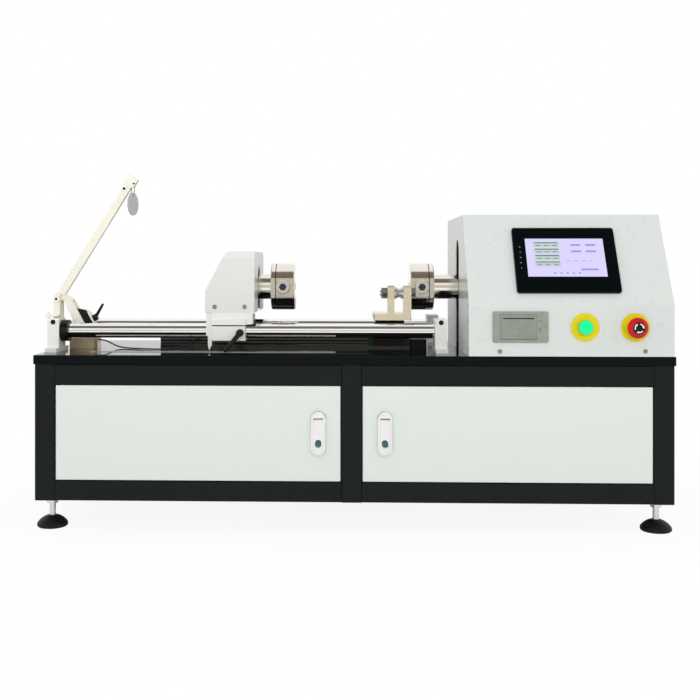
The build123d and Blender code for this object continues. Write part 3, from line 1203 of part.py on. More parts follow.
def weight_disc():
    """The thin disc and the wire ring that hangs it from the arm's eye pin."""
    x, z = eye_place()
    disc = Rot(0, 90, 0) * Cylinder(DISC_RADIUS, DISC_THICK)
    hole_up = DISC_RADIUS - DISC_HOLE_INSET
    disc -= Pos(0, 0, hole_up) * Rot(0, 90, 0) * Cylinder(DISC_HOLE_RADIUS, DISC_THICK + 2)
    disc = Pos(x, LEVER_Y, z - DISC_DROP) * Rot(0, 0, DISC_TWIST) * disc
    half = RING_LENGTH / 2 - RING_WIDTH / 2
    path = Plane.XZ * (
        Line((-RING_WIDTH / 2, -half), (-RING_WIDTH / 2, half))
        + ThreePointArc((-RING_WIDTH / 2, half), (0, half + RING_WIDTH / 2), (RING_WIDTH / 2, half))
        + Line((RING_WIDTH / 2, half), (RING_WIDTH / 2, -half))
        + ThreePointArc((RING_WIDTH / 2, -half), (0, -half - RING_WIDTH / 2), (-RING_WIDTH / 2, -half))
    )
    section = Plane(origin=(-RING_WIDTH / 2, 0, 0), z_dir=(0, 0, 1)) * Circle(RING_WIRE)
    ring = sweep(section, path=path)
    ring_z = z + EYE_PIN_RADIUS + RING_WIRE + 0.3 - RING_LENGTH / 2
    return group([disc, Pos(x, LEVER_Y, ring_z) * ring])


def link_frame():
    """A plane at the link's pin: x down along the link, y across it to the right, z towards the front."""
    angle = math.radians(LINK_ANGLE)
    origin = (LEVER_X + LINK_PIN[0], LEVER_Y, LEVER_Z + LINK_PIN[1])
    return Plane(origin=origin, x_dir=(math.cos(angle), 0, math.sin(angle)), z_dir=(0, -1, 0))


def tension_link():
    """Two side bars pinned to the crank, a clamp block between them and the strip that faces it."""
    plane = link_frame()
    solids = []
    bar = Pos(LINK_LENGTH / 2, 0) * SlotCenterToCenter(LINK_LENGTH, LINK_WIDTH)
    for side in (-1, 1):
        start = side * LINK_GAP / 2
        solids.append(extrude(plane.offset(start) * bar, amount=side * LINK_THICK))
    pin_half = LINK_GAP / 2
    pin = extrude(plane * Circle(LINK_PIN_RADIUS), amount=pin_half, both=True)
    core = extrude(plane * Polygon(*LINK_BLOCK, align=None), amount=LINK_GAP / 2 - 0.5, both=True)
    strip_low, strip_high = LINK_STRIP_SPAN
    edge = link_strip_edge()
    strip_sketch = Pos((strip_low + strip_high) / 2, edge + LINK_STRIP_THICK / 2) * Rectangle(
        strip_high - strip_low, LINK_STRIP_THICK
    )
    strip = extrude(plane * strip_sketch, amount=LINK_STRIP_WIDTH / 2, both=True)
    return group([*solids, pin, core, strip])


def link_strip_edge():
    """How far the strip lies across the link."""
    return LINK_BLOCK[2][1]


def link_clamp_handle():
    """The small clamp handle on the strip."""
    plane = link_frame()
    edge = link_strip_edge() + LINK_STRIP_THICK
    across = plane.y_dir
    hub_start = plane.origin + plane.x_dir * LINK_HANDLE_AT + across * (edge + 0.3)
    hub_plane = Plane(origin=hub_start, z_dir=across)
    hub = extrude(hub_plane * Circle(LINK_HUB_RADIUS), amount=LINK_HUB_LENGTH)
    tip_across, tip_up = LINK_HANDLE_TIP
    root = hub_start + across * (LINK_HUB_LENGTH / 2)
    tip = root + across * tip_across - plane.x_dir * tip_up
    return hub + tapered_lever(tuple(root), tuple(tip), 3.6, 2.6)


def lever_post():
    """The clevis post, with the tab that holds the back-stop screw and the arm's pivot bolt."""
    x = (LEVER_X - POST_WIDTH / 2, LEVER_X + POST_WIDTH / 2)
    half = POST_OVERALL / 2
    post = block(x, (LEVER_Y - half, LEVER_Y + half), (0, POST_HEIGHT))
    slot_half = POST_SLOT / 2
    slot_x = (x[0] - 1, x[1] + 1)
    post -= block(slot_x, (LEVER_Y - slot_half, LEVER_Y + slot_half), (POST_SLOT_LOW, POST_HEIGHT + 1))
    post -= rod_y(PIVOT_BOLT_RADIUS, LEVER_X, (LEVER_Y - half - 1, LEVER_Y + half + 1), LEVER_Z)
    screw_x = x[0] - STOP_SCREW_OUT
    tab_z = (STOP_TAB_Z, STOP_TAB_Z + STOP_TAB_THICK)
    post += block((screw_x - 5, x[1]), (STOP_SCREW_Y - 5, LEVER_Y - half), tab_z)
    post -= rod_z(STOP_SCREW_RADIUS, screw_x, STOP_SCREW_Y, (0, POST_HEIGHT))
    bolt = rod_y(PIVOT_BOLT_RADIUS, LEVER_X, (LEVER_Y - half - 2, LEVER_Y + half + 2), LEVER_Z)
    bolt += hexagon_y(2 * PIVOT_HEAD_RADIUS, LEVER_X, (LEVER_Y - half - 4, LEVER_Y - half), LEVER_Z)
    bolt += hexagon_y(2 * PIVOT_HEAD_RADIUS, LEVER_X, (LEVER_Y + half, LEVER_Y + half + 5), LEVER_Z)
    screw = rod_z(STOP_SCREW_RADIUS, screw_x, STOP_SCREW_Y, STOP_SCREW_SPAN)
    for low in (STOP_TAB_Z + STOP_TAB_THICK, STOP_TAB_Z - 2):
        screw += rod_z(STOP_WASHER_RADIUS, screw_x, STOP_SCREW_Y, (low, low + 2))
    return group([post, screw, bolt])


def load_cell():
    """The load cell on the table and the plug housing that its cable leaves."""
    length, depth, height = LOAD_CELL_SIZE
    y = (LOAD_CELL_Y - depth / 2, LOAD_CELL_Y + depth / 2)
    right = LOAD_CELL_LEFT + length
    cell = chamfer(block((LOAD_CELL_LEFT, right), y, (0, height)).edges().filter_by(Axis.Y), 2)
    housing = block((right, right + PLUG_HOUSING_LENGTH), y, (0, height))
    corners = housing.edges().filter_by(Axis.Z).group_by(Axis.X)[-1]
    return group([cell, chamfer(corners, PLUG_CHAMFER)])


def sensor_cable():
    """The thin cable from the load cell to the tailstock, slack on the table between them."""
    points = [Vector(point) for point in CABLE_ROUTE]
    radii = []
    for before, here, after in zip(points, points[1:], points[2:]):
        turn = math.radians((here - before).get_angle(after - here))
        run = min((here - before).length, (after - here).length)
        radii.append(0.45 * run / math.tan(turn / 2))
    path = FilletPolyline(*points, radius=radii)
    start = Plane(origin=path @ 0, z_dir=path % 0)
    tube = sweep(start * Circle(CABLE_RADIUS), path=path)
    expected = math.pi * CABLE_RADIUS**2 * path.length
    print(f"sensor_cable length {path.length:.1f}, smallest radius {min(radii):.1f},"
          f" volume ratio {tube.volume / expected:.4f}")
    return tube


def power_inlet():
    """The mains inlet with its socket, and the rocker switch above it, on the hood's back."""
    back = HOOD_DEPTH
    flange = front_plate(
        Pos(INLET_X, INLET_Z) * RectangleRounded(INLET_FLANGE[0], INLET_FLANGE[1], 3), (back, back + INLET_FLANGE[2])
    )
    body = front_plate(Pos(INLET_X, INLET_Z) * Rectangle(INLET_BODY[0], INLET_BODY[1]), (back - INLET_BODY[2], back))
    socket = front_plate(
        Pos(INLET_X, INLET_Z - INLET_DROP) * Rectangle(INLET_SOCKET[0], INLET_SOCKET[1]),
        (back + INLET_FLANGE[2] - INLET_SOCKET[2], back + INLET_FLANGE[2] + 1),
    )
    rocker_z = INLET_Z + ROCKER_RISE
    rocker_y = back - ROCKER_RADIUS / 2 + 1
    room = front_plate(
        Pos(INLET_X, rocker_z) * Rectangle(ROCKER_SIZE[0] + 1, ROCKER_SIZE[1] + 2), (back - 14, back + 10)
    )
    inlet = flange + body - socket - room
    half = ROCKER_SIZE[1] / 2
    key = prism_x(
        ((rocker_y - 6, rocker_z - half + 1.5), (back + 4.0, rocker_z - half), (back + 2.6, rocker_z),
         (back + 4.0, rocker_z + half), (rocker_y - 6, rocker_z + half - 1.5)),
        (INLET_X - ROCKER_SIZE[0] / 2, INLET_X + ROCKER_SIZE[0] / 2),
    )
    return inlet, key


def control_units():
    """The motor drive with its cooling fins and the power supply, standing in the right compartment."""
    floor = OPENING_LOW + SHEET
    width, depth, height = DRIVE_UNIT
    drive = block((DRIVE_UNIT_X, DRIVE_UNIT_X + width), (UNIT_BACK - depth, UNIT_BACK), (floor, floor + height))
    step = width / FIN_COUNT
    for index in range(FIN_COUNT):
        left = DRIVE_UNIT_X + (index + 0.3) * step
        drive -= block((left, left + step * 0.5), (UNIT_BACK - FIN_DEPTH, UNIT_BACK + 1), (floor + FIN_FOOT, floor + height + 1))
    width, depth, height = SUPPLY_UNIT
    supply = block((SUPPLY_UNIT_X, SUPPLY_UNIT_X + width), (UNIT_BACK - depth, UNIT_BACK), (floor, floor + height))
    return group([drive, supply])


def table_top():
    top = block((-HALF_LENGTH, HALF_LENGTH), (0, TABLE_DEPTH), (-TABLE_THICK, 0))
    top = chamfer(top.edges().group_by(Axis.Z)[-1], TABLE_EDGE)
    hole = Pos((HOOD_LEFT + HOOD_RIGHT) / 2, CABLE_HOLE_Y) * Rectangle(*CABLE_HOLE)
    return top - extrude(hole, amount=TABLE_THICK + 1, both=True)


def steel_rule():
    half = RULE_WIDTH / 2
    return block((RULE_LEFT, RULE_LEFT + RULE_LENGTH), (RULE_Y - half, RULE_Y + half), (0, RULE_THICK))


pieces["cabinet_frame"] = group([*cabinet_frame(), *door_pivots()])
pieces["table_top"] = table_top()
pieces["cabinet_panels"] = cabinet_panels()
pieces["foot_pads"], pieces["foot_studs"] = feet()
for name, side in HINGE_SIDES.items():
    pieces[f"{name}_door"] = door(side)
    pieces[f"{name}_lock"] = lock(side)
    pieces[f"{name}_handle"] = lock_handle(side)
    pieces[f"{name}_lock_button"] = lock_button(side)
pieces["headstock_hood"] = headstock_hood()
pieces["touch_panel"] = touch_panel()
pieces["printer_body"], pieces["printer_cover"], pieces["printer_button"] = printer()
pieces["button_bezels"] = button_bezels()
pieces["start_cap"] = start_cap()
pieces["estop_stem"], pieces["estop_head"] = stop_button()
pieces["bearing_blocks"] = bearing_blocks()
pieces["spindle_guard"] = spindle_guard()
pieces["drive_motor"] = drive_motor()
pieces["drive_belt"] = drive_belt()
pieces["motor_pulley"] = motor_pulley()
pieces["drive_spindle"] = drive_spindle()
pieces["spindle_pulley"] = toothed_pulley(SPINDLE_PULLEY_RADIUS, SPINDLE_TEETH, JOURNAL_RADIUS, AXIS_Y, AXIS_Z)
pieces["drive_chuck"] = chuck(DRIVE_CHUCK_FACE, 1)
pieces["drive_jaw"] = chuck_jaw(DRIVE_CHUCK_FACE, 1)
pieces["drive_clamp_screw"] = clamp_screw(DRIVE_CHUCK_FACE, 1)
pieces["rod_supports"] = rod_supports()
pieces["guide_rods"] = guide_rods()
pieces["bed_stops"] = bed_stops()
pieces["linear_rail"] = prism_x(rail_outline(0), (RAIL_LEFT, RAIL_RIGHT))
pieces["steel_rule"] = steel_rule()
pieces["rail_carriage"] = rail_carriage()
pieces["fork_bracket"] = fork_bracket()
pieces["fork_bolt"] = fork_bolt()
pieces["fork_roller"] = fork_roller()
pieces["tail_carriage"] = tail_carriage()
pieces["tail_hood"] = tail_hood()
pieces["torque_sensor"] = torque_sensor()
pieces["tail_spindle"] = tail_spindle()
pieces["tail_chuck"] = chuck(TAIL_CHUCK_FACE, -1)
pieces["tail_jaw"] = chuck_jaw(TAIL_CHUCK_FACE, -1)
pieces["tail_clamp_screw"] = clamp_screw(TAIL_CHUCK_FACE, -1)
pieces["scale_pointer"] = scale_pointer()
pieces["tail_clamp_lever"] = tail_clamp_lever()
pieces["lever_post"] = lever_post()
pieces["tension_arm"] = tension_arm()
pieces["weight_disc"] = weight_disc()
pieces["tension_link"] = tension_link()
pieces["link_clamp_handle"] = link_clamp_handle()
pieces["load_cell"] = load_cell()
pieces["sensor_cable"] = sensor_cable()
pieces["power_inlet"], pieces["power_rocker"] = power_inlet()
pieces["control_units"] = control_units()

# The footprint runs from the stop screw's washer to the table's right end, and from the stop button to the back.
to_part_frame = Pos(STOP_OVERHANG / 2, (STOP_REACH - TABLE_DEPTH) / 2, -FLOOR)
print(f"shift to the part's frame: {tuple(to_part_frame.position)}, nodes: {len(pieces)}")

os.makedirs("parts", exist_ok=True)
for name, piece in pieces.items():
    export_step(to_part_frame * piece, f"parts/{name}.step")
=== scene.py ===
"""Looks of the wire torsion testing machine.

Places are given in the table's frame, in millimetres: X from the table's middle, Y back from its front edge
and Z up from its top face. The function place() turns them into the part's own frame, in metres.
"""
import math

import bmesh
import bpy
from mathutils import Matrix, Vector

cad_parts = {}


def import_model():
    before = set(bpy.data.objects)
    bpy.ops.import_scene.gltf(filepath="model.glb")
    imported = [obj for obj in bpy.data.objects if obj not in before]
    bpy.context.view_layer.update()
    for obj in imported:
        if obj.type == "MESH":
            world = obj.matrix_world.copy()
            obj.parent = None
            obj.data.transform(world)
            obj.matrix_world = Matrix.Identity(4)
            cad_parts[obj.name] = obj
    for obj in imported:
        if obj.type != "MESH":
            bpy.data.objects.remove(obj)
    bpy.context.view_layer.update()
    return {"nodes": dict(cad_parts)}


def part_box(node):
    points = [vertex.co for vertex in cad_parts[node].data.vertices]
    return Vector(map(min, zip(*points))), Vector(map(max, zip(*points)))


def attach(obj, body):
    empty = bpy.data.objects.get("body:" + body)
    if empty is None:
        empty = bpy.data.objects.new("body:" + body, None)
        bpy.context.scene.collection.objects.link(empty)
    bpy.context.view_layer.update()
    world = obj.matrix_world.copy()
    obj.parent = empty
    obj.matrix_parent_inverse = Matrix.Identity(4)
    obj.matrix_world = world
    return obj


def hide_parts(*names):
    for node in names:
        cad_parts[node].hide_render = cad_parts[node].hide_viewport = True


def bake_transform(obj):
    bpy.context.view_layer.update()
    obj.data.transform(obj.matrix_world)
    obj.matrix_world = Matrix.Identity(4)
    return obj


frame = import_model()

MM = 0.001
TABLE_LOW, TABLE_HIGH = (Vector(corner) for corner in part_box("table_top"))
ORIGIN = Vector(((TABLE_LOW.x + TABLE_HIGH.x) / 2, TABLE_LOW.y, TABLE_HIGH.z))


def place(x, y, z):
    """A point of the table's frame, in millimetres, as metres in the part's frame."""
    return ORIGIN + Vector((x, y, z)) * MM


def span(node):
    """A node's lowest and highest corners in the table's frame, in millimetres."""
    low, high = (Vector(corner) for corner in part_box(node))
    return (low - ORIGIN) / MM, (high - ORIGIN) / MM


# Camera: the photograph's viewpoint

CAMERA_AT = (-16.9, -1951.8, 174.6)
CAMERA_TURN = 0.0309
CAMERA_LENS = 51.57
CAMERA_SHIFT = (0.05443, -0.11971)
SENSOR_WIDTH = 36
CAMERA_REACH = 50


def add_camera():
    data = bpy.data.cameras.new("camera")
    data.sensor_width = SENSOR_WIDTH
    data.lens = CAMERA_LENS
    data.shift_x, data.shift_y = CAMERA_SHIFT
    data.clip_end = CAMERA_REACH
    camera = bpy.data.objects.new("camera", data)
    camera.location = place(*CAMERA_AT)
    camera.rotation_euler = (math.pi / 2, 0, CAMERA_TURN)
    bpy.context.collection.objects.link(camera)
    bpy.context.scene.camera = camera


add_camera()

# Materials: noise scales are in waves per metre, and bump heights in metres

MOTTLE_LOW, MOTTLE_HIGH = 0.3, 0.7
NOISE_LOW, NOISE_HIGH = 0.25, 0.75
PAINT_PATCHES = 7
PAINT_GLOSS_PATCHES = 40
ORANGE_PEEL_SCALE = 900
MOULD_PATCHES = 60
MOULD_MOTTLE = 0.07
MOULD_GLOSS_PATCHES = 200
MOULD_GRAIN_SCALE = 1800
METAL_CLOUDS = 18
TAPE_GRAIN_SCALE = 700
TAPE_GRAIN = 0.05
LENS_PATCHES = 30
SURFACE_RELIEF = 0.0002
SCRATCH_RELIEF = 0.0001


class Shader:
    """A small builder for procedural materials."""

    def __init__(self, name):
        self.material = bpy.data.materials.new(name)
        self.material.use_nodes = True
        self.tree = self.material.node_tree
        self.tree.nodes.clear()
        self.output = self.node("ShaderNodeOutputMaterial")
        self.coordinates = self.node("ShaderNodeTexCoord").outputs["Object"]

    def node(self, kind, **settings):
        made = self.tree.nodes.new(kind)
        for key, value in settings.items():
            setattr(made, key, value)
        return made

    def link(self, source, target):
        self.tree.links.new(source, target)

    def surface(self, color, roughness, metallic=0.0, coat=0.0, coat_roughness=0.05, specular=0.5, **inputs):
        """The one Principled shader of the material."""
        self.principled = self.node("ShaderNodeBsdfPrincipled")
        sockets = self.principled.inputs
        sockets["Base Color"].default_value = (*color, 1)
        sockets["Roughness"].default_value = roughness
        sockets["Metallic"].default_value = metallic
        sockets["Coat Weight"].default_value = coat
        sockets["Coat Roughness"].default_value = coat_roughness
        sockets["Specular IOR Level"].default_value = specular
        for key, value in inputs.items():
            sockets[key].default_value = value
        self.link(self.principled.outputs[0], self.output.inputs["Surface"])
        return sockets

    def scaled(self, scale):
        """The object's own coordinates, stretched."""
        mapping = self.node("ShaderNodeMapping")
        mapping.inputs["Scale"].default_value = scale
        self.link(self.coordinates, mapping.inputs["Vector"])
        return mapping.outputs[0]

    def noise(self, scale, detail=4.0, stretch=(1, 1, 1), roughness=0.5):
        texture = self.node("ShaderNodeTexNoise")
        texture.inputs["Scale"].default_value = scale
        texture.inputs["Detail"].default_value = detail
        texture.inputs["Roughness"].default_value = roughness
        self.link(self.scaled(stretch), texture.inputs["Vector"])
        return texture.outputs["Fac"]

    def ramp(self, value, stops, interpolation="LINEAR"):
        """A colour ramp; each stop is (position, colour)."""
        ramp = self.node("ShaderNodeValToRGB")
        ramp.color_ramp.interpolation = interpolation
        elements = ramp.color_ramp.elements
        while len(elements) < len(stops):
            elements.new(1.0)
        for element, (position, color) in zip(elements, stops):
            element.position = position
            element.color = (*color, 1)
        self.link(value, ramp.inputs["Fac"])
        return ramp.outputs["Color"]

    def spread(self, value, low, high):
        """Maps a 0 to 1 value to the span from low to high."""
        remap = self.node("ShaderNodeMapRange")
        remap.inputs["From Min"].default_value = NOISE_LOW
        remap.inputs["From Max"].default_value = NOISE_HIGH
        remap.inputs["To Min"].default_value = low
        remap.inputs["To Max"].default_value = high
        self.link(value, remap.inputs["Value"])
        return remap.outputs[0]

    def bump(self, height, strength, distance):
        bump = self.node("ShaderNodeBump")
        bump.inputs["Strength"].default_value = strength
        bump.inputs["Distance"].default_value = distance
        self.link(height, bump.inputs["Height"])
        self.link(bump.outputs[0], self.principled.inputs["Normal"])

    def mottle(self, color, amount, scale, detail):
        """Drifts the base colour lighter and darker in soft patches."""
        stops = ((MOTTLE_LOW, tinted(color, 1 - amount)), (MOTTLE_HIGH, tinted(color, 1 + amount)))
        self.link(self.ramp(self.noise(scale, detail), stops), self.principled.inputs["Base Color"])

    def vary_gloss(self, value, low, high):
        """Spreads the roughness between two values."""
        self.link(self.spread(value, low, high), self.principled.inputs["Roughness"])


def tinted(color, factor):
    return tuple(min(1.0, channel * factor) for channel in color)


def painted(name, color, roughness, coat=0.0, orange_peel=0.012, mottle=0.002, specular=0.4):
    """Powder coat or enamel: a little mottling of colour and gloss, and fine orange peel unless that is 0."""
    shader = Shader(name)
    shader.surface(color, roughness, coat=coat, specular=specular)
    shader.mottle(color, mottle, PAINT_PATCHES, 3)
    shader.vary_gloss(shader.noise(PAINT_GLOSS_PATCHES, 2), roughness * 0.96, roughness * 1.04)
    if orange_peel:
        shader.bump(shader.noise(ORANGE_PEEL_SCALE, 2), orange_peel, SURFACE_RELIEF)
    return shader.material


def moulded(name, color, roughness, grain=0.3, specular=0.5):
    """Moulded plastic or rubber with a fine spark-eroded grain."""
    shader = Shader(name)
    shader.surface(color, roughness, specular=specular)
    shader.mottle(color, MOULD_MOTTLE, MOULD_PATCHES, 3)
    shader.vary_gloss(shader.noise(MOULD_GLOSS_PATCHES, 2), roughness * 0.85, min(1, roughness * 1.15))
    shader.bump(shader.noise(MOULD_GRAIN_SCALE, 3), grain, SURFACE_RELIEF)
    return shader.material


def metal(name, color, roughness, stretch, tint=0.05, scratch=0.12, detail=400):
    """Bare or plated metal, with its machining or grinding marks drawn out along one direction."""
    shader = Shader(name)
    shader.surface(color, roughness, metallic=1.0)
    shader.mottle(color, tint, METAL_CLOUDS, 4)
    marks = shader.noise(detail, 6, stretch, 0.6)
    shader.vary_gloss(marks, roughness * 0.6, roughness * 1.5)
    shader.bump(marks, scratch, SCRATCH_RELIEF)
    return shader.material


def stripes(name, first, second, width, direction, roughness=0.4):
    """Even stripes across a direction, as on hazard tape."""
    shader = Shader(name)
    sockets = shader.surface(first, roughness)
    wave = shader.node("ShaderNodeTexWave", wave_type="BANDS", bands_direction="X", wave_profile="TRI")
    wave.inputs["Scale"].default_value = 1 / (2 * width)
    turn = shader.node("ShaderNodeMapping")
    turn.inputs["Rotation"].default_value = direction
    shader.link(shader.coordinates, turn.inputs["Vector"])
    shader.link(turn.outputs[0], wave.inputs["Vector"])
    bands = shader.ramp(wave.outputs["Fac"], ((0.0, first), (0.5, second)), "CONSTANT")
    shader.link(bands, sockets["Base Color"])
    shader.bump(shader.noise(TAPE_GRAIN_SCALE, 2), TAPE_GRAIN, SCRATCH_RELIEF)
    return shader.material


def glowing(name, color, strength, roughness=0.15):
    """A lit display or lamp lens."""
    shader = Shader(name)
    shader.surface(color, roughness, **{"Emission Color": (*color, 1), "Emission Strength": strength})
    shader.vary_gloss(shader.noise(LENS_PATCHES, 2), roughness * 0.9, roughness * 1.1)
    return shader.material


ALONG_X = (0.02, 1, 1)
ROUND_X = (1, 0.03, 0.03)

BLACK_ENAMEL = painted("black_enamel", (0.0075, 0.010, 0.0095), 0.42, mottle=0.05, specular=0.12)
TABLE_LAMINATE = painted("table_laminate", (0.003, 0.0045, 0.0045), 0.06, orange_peel=0.004, specular=0.12)
CREAM_PAINT = painted("cream_paint", (0.635, 0.67, 0.63), 0.38, orange_peel=0.0)
HOOD_PAINT = painted("hood_paint", (0.59, 0.615, 0.59), 0.28, coat=0.1, orange_peel=0.0)
TAIL_PAINT = painted("tail_paint", (0.65, 0.665, 0.625), 0.30, coat=0.1, orange_peel=0.0)
RUBBER = moulded("black_rubber", (0.006, 0.007, 0.0065), 0.5, 0.2, 0.25)
ZINC = metal("zinc_plate", (0.80, 0.80, 0.77), 0.22, (1, 1, 1), 0.05, 0.05)
CHROME = metal("hard_chrome", (0.90, 0.90, 0.92), 0.045, ROUND_X, 0.01, 0.01)
NICKEL = metal("turned_nickel", (0.84, 0.80, 0.73), 0.12, ROUND_X, 0.03, 0.04)
BRIGHT_STEEL = metal("ground_steel", (0.62, 0.62, 0.62), 0.2, ALONG_X, 0.04, 0.04)
# Painted shade: the rail's steel is darkened to near black, far below bare ground steel, for the shade it
# lies in under the guide rods
DARKENED_RAIL_STEEL = metal("rail_steel_darkened", (0.075, 0.075, 0.078), 0.16, ALONG_X, 0.04, 0.03)
PALE_PLATE = painted("pale_plate", (0.73, 0.74, 0.70), 0.34, orange_peel=0.0, mottle=0.01)
CREAM_PLATE = painted("cream_plate", (0.80, 0.775, 0.66), 0.34, orange_peel=0.0, mottle=0.01)
BEIGE_PLATE = metal("beige_plate", (0.86, 0.78, 0.62), 0.36, ALONG_X, 0.04, 0.04)
DISC_GREY = painted("disc_grey", (0.42, 0.43, 0.41), 0.3, mottle=0.03)
ALUMINIUM = metal("matt_aluminium", (0.66, 0.67, 0.66), 0.42, (1, 1, 1), 0.04, 0.06, 700)
BLACK_OXIDE = metal("black_oxide", (0.03, 0.03, 0.033), 0.36, (1, 1, 1), 0.1, 0.06)
BLACK_PLASTIC = moulded("black_plastic", (0.0015, 0.0028, 0.0036), 0.3, 0.01, 0.06)
LEVER_PLASTIC = moulded("lever_plastic", (0.006, 0.0065, 0.007), 0.4, 0.2, 0.3)
PRINTER_PLASTIC = moulded("printer_plastic", (0.245, 0.26, 0.225), 0.42, 0.1)
PRINTER_LID = moulded("printer_lid", (0.215, 0.235, 0.20), 0.36, 0.06)
YELLOW = moulded("yellow_plastic", (0.64, 0.56, 0.002), 0.38, 0.04, 0.3)
GREEN = glowing("green_lens", (0.0, 0.62, 0.22), 0.42)
GREEN_EDGE = moulded("green_edge", (0.0, 0.22, 0.09), 0.3, 0.05)
RED = moulded("red_plastic", (0.50, 0.003, 0.010), 0.3, 0.03, 0.3)
DARK_GREEN = moulded("dark_green_cap", (0.0, 0.03, 0.014), 0.35, 0.06, 0.3)
LOCK_METAL = metal("lock_zinc", (0.80, 0.80, 0.78), 0.14, (1, 1, 1), 0.03, 0.02)
LOCK_TEAL = metal("lock_button", (0.05, 0.15, 0.17), 0.22, (1, 1, 1), 0.05, 0.03)
HAZARD = stripes("hazard_stripes", (0.72, 0.52, 0.02), (0.015, 0.013, 0.01), 0.012, (math.radians(40), 0, 0))
BELT = moulded("belt_rubber", (0.02, 0.02, 0.02), 0.6, 0.3)
JACKET = moulded("cable_jacket", (0.012, 0.012, 0.014), 0.45, 0.05, 0.3)
UNIT_PAINT = painted("unit_paint", (0.30, 0.31, 0.32), 0.4)
BRASS_GREY = metal("brass_grey", (0.42, 0.36, 0.24), 0.3, (1, 1, 1), 0.06, 0.04)
CELL_NICKEL = metal("cell_nickel", (0.66, 0.55, 0.40), 0.30, ALONG_X, 0.06, 0.04)
INK = moulded("black_ink", (0.008, 0.008, 0.008), 0.5, 0.03, 0.2)
WHITE_INK = moulded("white_ink", (0.80, 0.80, 0.80), 0.5, 0.03)
SCREEN = glowing("screen_lavender", (0.46, 0.42, 0.70), 0.36, 0.1)
SCREEN_BOX = glowing("screen_box", (0.33, 0.41, 0.36), 0.34, 0.1)
SCREEN_TITLE = glowing("screen_title", (0.07, 0.10, 0.09), 0.2, 0.1)
SCREEN_KEY = glowing("screen_key", (0.25, 0.19, 0.50), 0.34, 0.1)
LAMP_RED = glowing("lamp_red", (0.5, 0.02, 0.01), 0.4, 0.1)
# Painted shade: the near-black of a screw socket's recess, for the flat hexagons laid inside the chuck clamp
# screws
SOCKET_SHADE = moulded("socket_painted_shade", (0.012, 0.02, 0.03), 0.4, 0.05)

NODE_MATERIALS = {
    "cabinet_frame": BLACK_ENAMEL,
    "table_top": TABLE_LAMINATE,
    "cabinet_panels": CREAM_PAINT,
    "foot_pads": RUBBER,
    "foot_studs": ZINC,
    "headstock_hood": HOOD_PAINT,
    "touch_panel": BLACK_PLASTIC,
    "printer_body": PRINTER_PLASTIC,
    "button_bezels": YELLOW,
    "bearing_blocks": ALUMINIUM,
    "spindle_guard": HAZARD,
    "drive_motor": BLACK_OXIDE,
    "drive_belt": BELT,
    "rod_supports": PALE_PLATE,
    "guide_rods": CHROME,
    "bed_stops": BLACK_OXIDE,
    "linear_rail": DARKENED_RAIL_STEEL,
    "steel_rule": BRIGHT_STEEL,
    "lever_post": CREAM_PLATE,
    "load_cell": CELL_NICKEL,
    "sensor_cable": JACKET,
    "power_inlet": BLACK_PLASTIC,
    "control_units": UNIT_PAINT,
    "drive_spindle": NICKEL,
    "drive_chuck": NICKEL,
    "spindle_pulley": ALUMINIUM,
    "motor_pulley": ALUMINIUM,
    "drive_jaw": BRIGHT_STEEL,
    "drive_clamp_screw": ZINC,
    "tail_carriage": PALE_PLATE,
    "tail_hood": TAIL_PAINT,
    "torque_sensor": BRIGHT_STEEL,
    "tail_spindle": NICKEL,
    "tail_chuck": NICKEL,
    "scale_pointer": PALE_PLATE,
    "tail_jaw": BRIGHT_STEEL,
    "tail_clamp_screw": ZINC,
    "tail_clamp_lever": LEVER_PLASTIC,
    "rail_carriage": BLACK_OXIDE,
    "fork_bracket": BEIGE_PLATE,
    "fork_bolt": ZINC,
    "fork_roller": BRIGHT_STEEL,
    "left_door": CREAM_PAINT,
    "left_lock": LOCK_METAL,
    "left_handle": LOCK_METAL,
    "left_lock_button": LOCK_TEAL,
    "right_door": CREAM_PAINT,
    "right_lock": LOCK_METAL,
    "right_handle": LOCK_METAL,
    "right_lock_button": LOCK_TEAL,
    "start_cap": GREEN,
    "estop_stem": RED,
    "estop_head": RED,
    "printer_cover": PRINTER_LID,
    "printer_button": PRINTER_LID,
    "power_rocker": BLACK_PLASTIC,
    "tension_arm": CREAM_PLATE,
    "tension_link": CREAM_PLATE,
    "link_clamp_handle": LEVER_PLASTIC,
    "weight_disc": DISC_GREY,
}


def dress_cad_nodes():
    for name, node in frame["nodes"].items():
        node.data.materials.clear()
        node.data.materials.append(NODE_MATERIALS[name])


dress_cad_nodes()

# Mesh helpers

SMOOTH_ANGLE = math.radians(35)
CORNER_STEPS = 4


def finish_piece(name, mesh, material, body):
    """Makes an object of a bmesh, in metres in the part's frame, that rides on a body."""
    data = bpy.data.meshes.new(name)
    bmesh.ops.recalc_face_normals(mesh, faces=mesh.faces)
    mesh.to_mesh(data)
    mesh.free()
    made = bpy.data.objects.new(name, data)
    bpy.context.collection.objects.link(made)
    data.materials.append(material)
    data.shade_smooth()
    data.set_sharp_from_angle(angle=SMOOTH_ANGLE)
    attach(made, body)


def axis_frame(at, toward):
    """A matrix whose Z runs along toward, with its origin at a point of the table's frame."""
    turn = Vector(toward).normalized().to_track_quat("Z", "Y")
    return Matrix.Translation(place(*at)) @ turn.to_matrix().to_4x4()


